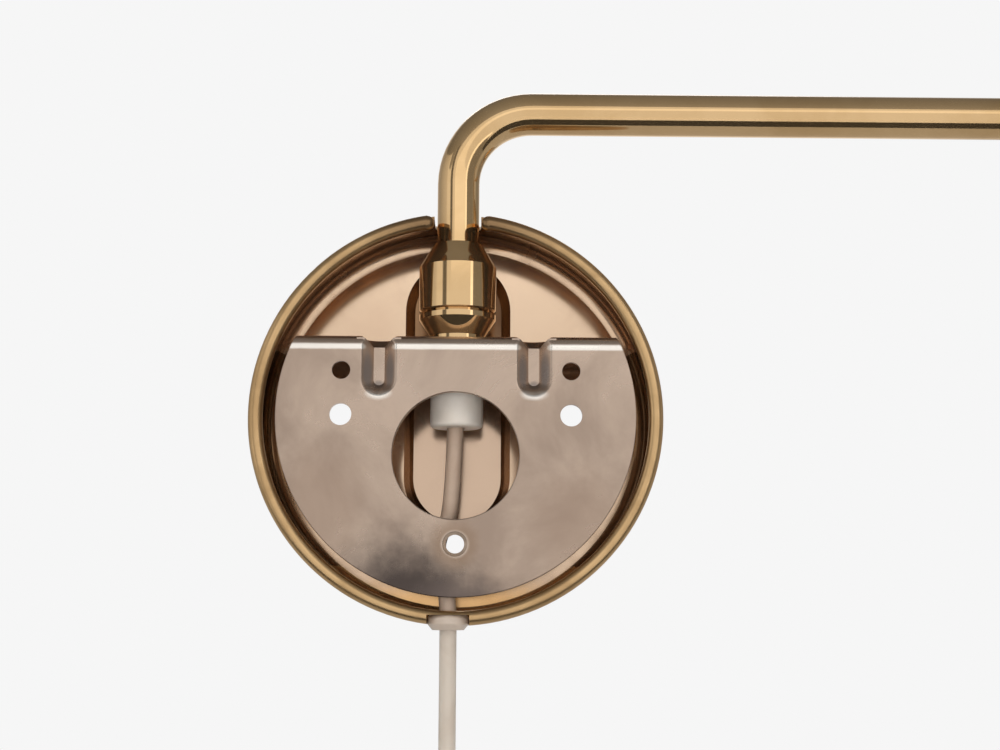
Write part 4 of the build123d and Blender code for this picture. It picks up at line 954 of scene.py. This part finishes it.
        # Painted shade: the white grommet is coloured darker and browner for the shade at the cup's rim.
        shop.coat_node("exit_grommet", Moulding(
            "plastic_grommet_painted_shade", colour=(0.53, 0.44, 0.365), worn_and_shade_colour=(0.46, 0.375, 0.305),
            roughness=0.30, worn_roughness=0.42, smudge_scale=90.0, smudge_detail=5.0,
            texture_depth=10.0 * MICRON))
        LOG.info("laid the cords")


@dataclass(frozen=True)
class Lamp:
    """A soft square lamp, which polished metal shows or not."""

    name: str
    place: Triple
    target: Triple
    size: float
    watts: float
    tint: Colour
    in_mirrors: bool = False

    def build(self) -> None:
        """Hang the lamp and turn it to its target."""
        data = bpy.data.lights.new(self.name, "AREA")
        data.size = self.size
        data.energy = self.watts
        data.color = self.tint
        lamp = bpy.data.objects.new(self.name, data)
        bpy.context.scene.collection.objects.link(lamp)
        lamp.location = self.place
        lamp.rotation_mode = "QUATERNION"
        lamp.rotation_quaternion = (Vector(self.target) - Vector(self.place)).to_track_quat("-Z", "Y")
        lamp.visible_camera = False
        lamp.visible_glossy = self.in_mirrors


@dataclass(frozen=True)
class Card:
    """A card that only mirrors show, as flags and reflectors stand round polished metal.

    Each stop is a position and the card's level there.
    """

    name: str
    stops: tuple[tuple[float, float], ...]

    def _rows(self) -> list[Row]:
        """Give the card's rows, each with its two ends and its level."""
        raise NotImplementedError

    def build(self, material: bpy.types.Material) -> None:
        """Hang the card.

        Args:
            material: Material that glows at the level of the card's points.
        """
        rows = self._rows()
        mesh = bpy.data.meshes.new(self.name)
        corners = [end for row in rows for end in row[:2]]
        mesh.from_pydata(corners, [], [(i, i + 1, i + 3, i + 2) for i in range(0, len(corners) - 2, 2)])
        levels = mesh.attributes.new("level", "FLOAT", "POINT")
        levels.data.foreach_set("value", [row[2] for row in rows for _ in range(2)])
        mesh.materials.append(material)
        card = bpy.data.objects.new(self.name, mesh)
        bpy.context.scene.collection.objects.link(card)
        card.visible_camera = False
        card.visible_diffuse = False
        card.visible_transmission = False
        card.visible_shadow = False


@dataclass(frozen=True)
class Screen(Card):
    """An upright curved card, with its stops in degrees from the camera's side round to the lamp's arm."""

    low: float = -0.45
    high: float = 0.85
    reach: float = 1.2
    step_deg: float = 6.0

    def _rows(self) -> list[Row]:
        """Give the screen's rows.

        Returns:
            The rows, with no step wider than the set one.
        """
        rows: list[Row] = []
        for (first_deg, first_level), (last_deg, last_level) in zip(self.stops, self.stops[1:]):
            steps = max(1, math.ceil((last_deg - first_deg) / self.step_deg))
            for step in range(steps + 1):
                share = step / steps
                angle = math.radians(first_deg + (last_deg - first_deg) * share)
                x, y = -self.reach * math.sin(angle), self.reach * math.cos(angle)
                level = first_level + (last_level - first_level) * share
                rows.append(((x, y, self.low), (x, y, self.high), level))
        return rows


@dataclass(frozen=True)
class Shelf(Card):
    """A level card, with its stops in metres from the wall, from the camera's side to the room's."""

    height: float = 0.85
    half: float = 1.6

    def _rows(self) -> list[Row]:
        """Give the shelf's rows."""
        return [((-self.half, y, self.height), (self.half, y, self.height), level) for y, level in self.stops]


LAMPS: tuple[Lamp, ...] = (
    Lamp("key", (0.7, 0.9, 0.8), (0.0, 0.0, 0.0), size=0.9, watts=6.5, tint=(1.0, 0.97, 0.92)),
    Lamp("eye", (0.05, 0.9, -0.1), (0.0, 0.0, -0.02), size=0.5, watts=2.5, tint=(1.0, 0.97, 0.93)),
    Lamp("side", (-1.0, 0.5, 0.4), (-0.1, 0.0, 0.0), size=0.8, watts=4.0, tint=(1.0, 0.98, 0.95)),
    Lamp("front", (-0.2, -1.2, 0.7), (-0.2, -0.1, 0.0), size=1.0, watts=8.0, tint=(1.0, 0.99, 0.97),
         in_mirrors=True),
)
CARDS: tuple[Card, ...] = (
    Shelf("flag_above", ((1.2, 0.36), (0.4, 0.25), (-0.5, 0.16), (-0.8, 0.3), (-1.2, 0.9))),
    Shelf("flag_below", ((0.42, 0.03), (0.10, 0.03)), height=-0.30),
    Shelf("shelf_below", ((0.10, 0.45), (-0.6, 0.5), (-1.2, 0.8)), height=-0.31),
    Screen("window", ((-20.0, 1.25), (38.0, 1.25)), low=0.31, high=0.56),
    Screen("flag_left", ((-46.0, 0.6), (-43.0, 0.15), (-35.0, 0.15), (-32.0, 0.6))),
    Screen("screen_left", ((-180.0, 0.95), (-160.0, 0.9), (-145.0, 0.4), (-118.0, 0.38), (-70.0, 0.7),
                           (-62.0, 0.92))),
    Screen("screen_right", ((38.0, 0.92), (40.0, 1.7), (46.0, 1.7), (48.0, 0.24), (84.0, 0.24), (94.0, 0.48),
                            (104.0, 0.48), (116.0, 0.25), (145.0, 0.27), (160.0, 0.9), (180.0, 0.95))),
)


@dataclass
class Studio:
    """Camera, light and backdrop."""

    background: float = 0.922
    fill: float = 0.42
    lens: float = 53.55
    sensor: float = 36.0
    nearest: float = 0.01
    camera_place: Triple = (-6.3 * MM, 400.0 * MM, -49.2 * MM)
    pan_deg: float = 0.8
    tilt_deg: float = 8.55
    roll_deg: float = -0.26
    floor_below: float = 14.0 * MM
    floor_middle: tuple[float, float] = (-0.15, -0.15)
    floor_radius: float = 1.2
    floor_sides: int = 96
    floor_grey: float = 0.9
    floor_roughness: float = 0.9
    fade_from: float = 0.25
    fade_to: float = 1.08

    def _camera(self) -> None:
        """Set the camera behind the lamp, where the wall would be."""
        data = bpy.data.cameras.new("camera")
        data.lens = self.lens
        data.sensor_width = self.sensor
        data.clip_start = self.nearest
        camera = bpy.data.objects.new("camera", data)
        bpy.context.scene.collection.objects.link(camera)
        pan, tilt = math.radians(self.pan_deg), math.radians(self.tilt_deg)
        ahead = Vector((-math.sin(pan) * math.cos(tilt), -math.cos(pan) * math.cos(tilt), math.sin(tilt)))
        camera.location = self.camera_place
        camera.rotation_mode = "QUATERNION"
        turn = Quaternion(ahead, math.radians(self.roll_deg))
        camera.rotation_quaternion = turn @ ahead.to_track_quat("-Z", "Y")
        bpy.context.scene.camera = camera

    def _world(self) -> None:
        """Set a pale backdrop for what is seen and mirrored, and a weaker fill for the rest."""
        world = bpy.data.worlds.new("studio")
        world.use_nodes = True
        tree = Tree(world.node_tree)
        tree.tree.nodes.clear()
        path = tree.add("ShaderNodeLightPath").outputs
        seen = tree.math("MAXIMUM", path["Is Camera Ray"], path["Is Glossy Ray"])
        seen = tree.math("MAXIMUM", seen, path["Is Transmission Ray"])
        strength = tree.remap(seen, self.fill, self.background)
        glow = tree.add("ShaderNodeBackground", {"Color": (1.0, 1.0, 1.0, 1.0), "Strength": strength})
        tree.add("ShaderNodeOutputWorld", {"Surface": glow.outputs[0]})
        bpy.context.scene.world = world

    @staticmethod
    def _card_material() -> bpy.types.Material:
        """Make the material of the cards, which glow at their points' own level.

        Returns:
            The material.
        """
        material = bpy.data.materials.new("studio_card")
        material.use_nodes = True
        tree = Tree(material.node_tree)
        tree.tree.nodes.clear()
        level = tree.add("ShaderNodeAttribute", attribute_name="level")
        glow = tree.add("ShaderNodeEmission", {"Strength": level.outputs["Fac"]})
        tree.add("ShaderNodeOutputMaterial", {"Surface": glow.outputs[0]})
        return material

    def _floor_material(self, middle: Triple) -> bpy.types.Material:
        """Make the floor's material, which fades out round its middle and is clear from below.

        Args:
            middle: Middle of the floor.

        Returns:
            The material.
        """
        material = bpy.data.materials.new("floor_pale")
        material.use_nodes = True
        tree = Tree(material.node_tree)
        shader = material.node_tree.nodes["Principled BSDF"]
        shader.inputs["Base Color"].default_value = (self.floor_grey, self.floor_grey, self.floor_grey, 1.0)
        shader.inputs["Roughness"].default_value = self.floor_roughness
        place = tree.add("ShaderNodeTexCoord").outputs["Object"]
        away = tree.length(tree.vector("SUBTRACT", place, middle))
        shown = tree.fade(away, start=self.fade_from, end=self.fade_to, low=1.0, high=0.0)
        from_above = tree.remap(tree.add("ShaderNodeNewGeometry").outputs["Backfacing"], 1.0, 0.0)
        tree.join(tree.math("MULTIPLY", shown, from_above), shader.inputs["Alpha"])
        return material

    def _floor(self) -> None:
        """Lay a pale floor under the plug."""
        middle = (*self.floor_middle, CAD_BOX[0].z - self.floor_below)
        mesh = bpy.data.meshes.new("floor")
        build = bmesh.new()
        bmesh.ops.create_circle(build, cap_ends=True, segments=self.floor_sides, radius=self.floor_radius,
                                matrix=Matrix.Translation(middle))
        build.to_mesh(mesh)
        build.free()
        floor = bpy.data.objects.new("floor", mesh)
        bpy.context.scene.collection.objects.link(floor)
        mesh.materials.append(self._floor_material(middle))

    def build(self) -> None:
        """Set up the whole studio."""
        bpy.context.scene.view_settings.view_transform = "Standard"
        self._camera()
        self._world()
        self._floor()
        for lamp in LAMPS:
            lamp.build()
        card_material = self._card_material()
        for card in CARDS:
            card.build(card_material)
        LOG.info("set the studio")


def main() -> None:
    """Build the lamp's looks in order."""
    logging.basicConfig(level=logging.INFO, format="%(name)s: %(message)s")
    shop = PaintShop(Effects())
    shop.coat_frame()
    WallCup().dress(shop)
    MountingPlate().dress(shop)
    Shade().dress(shop)
    CordSet().build(shop)
    Studio().build()


if __name__ == "__main__":
    main()
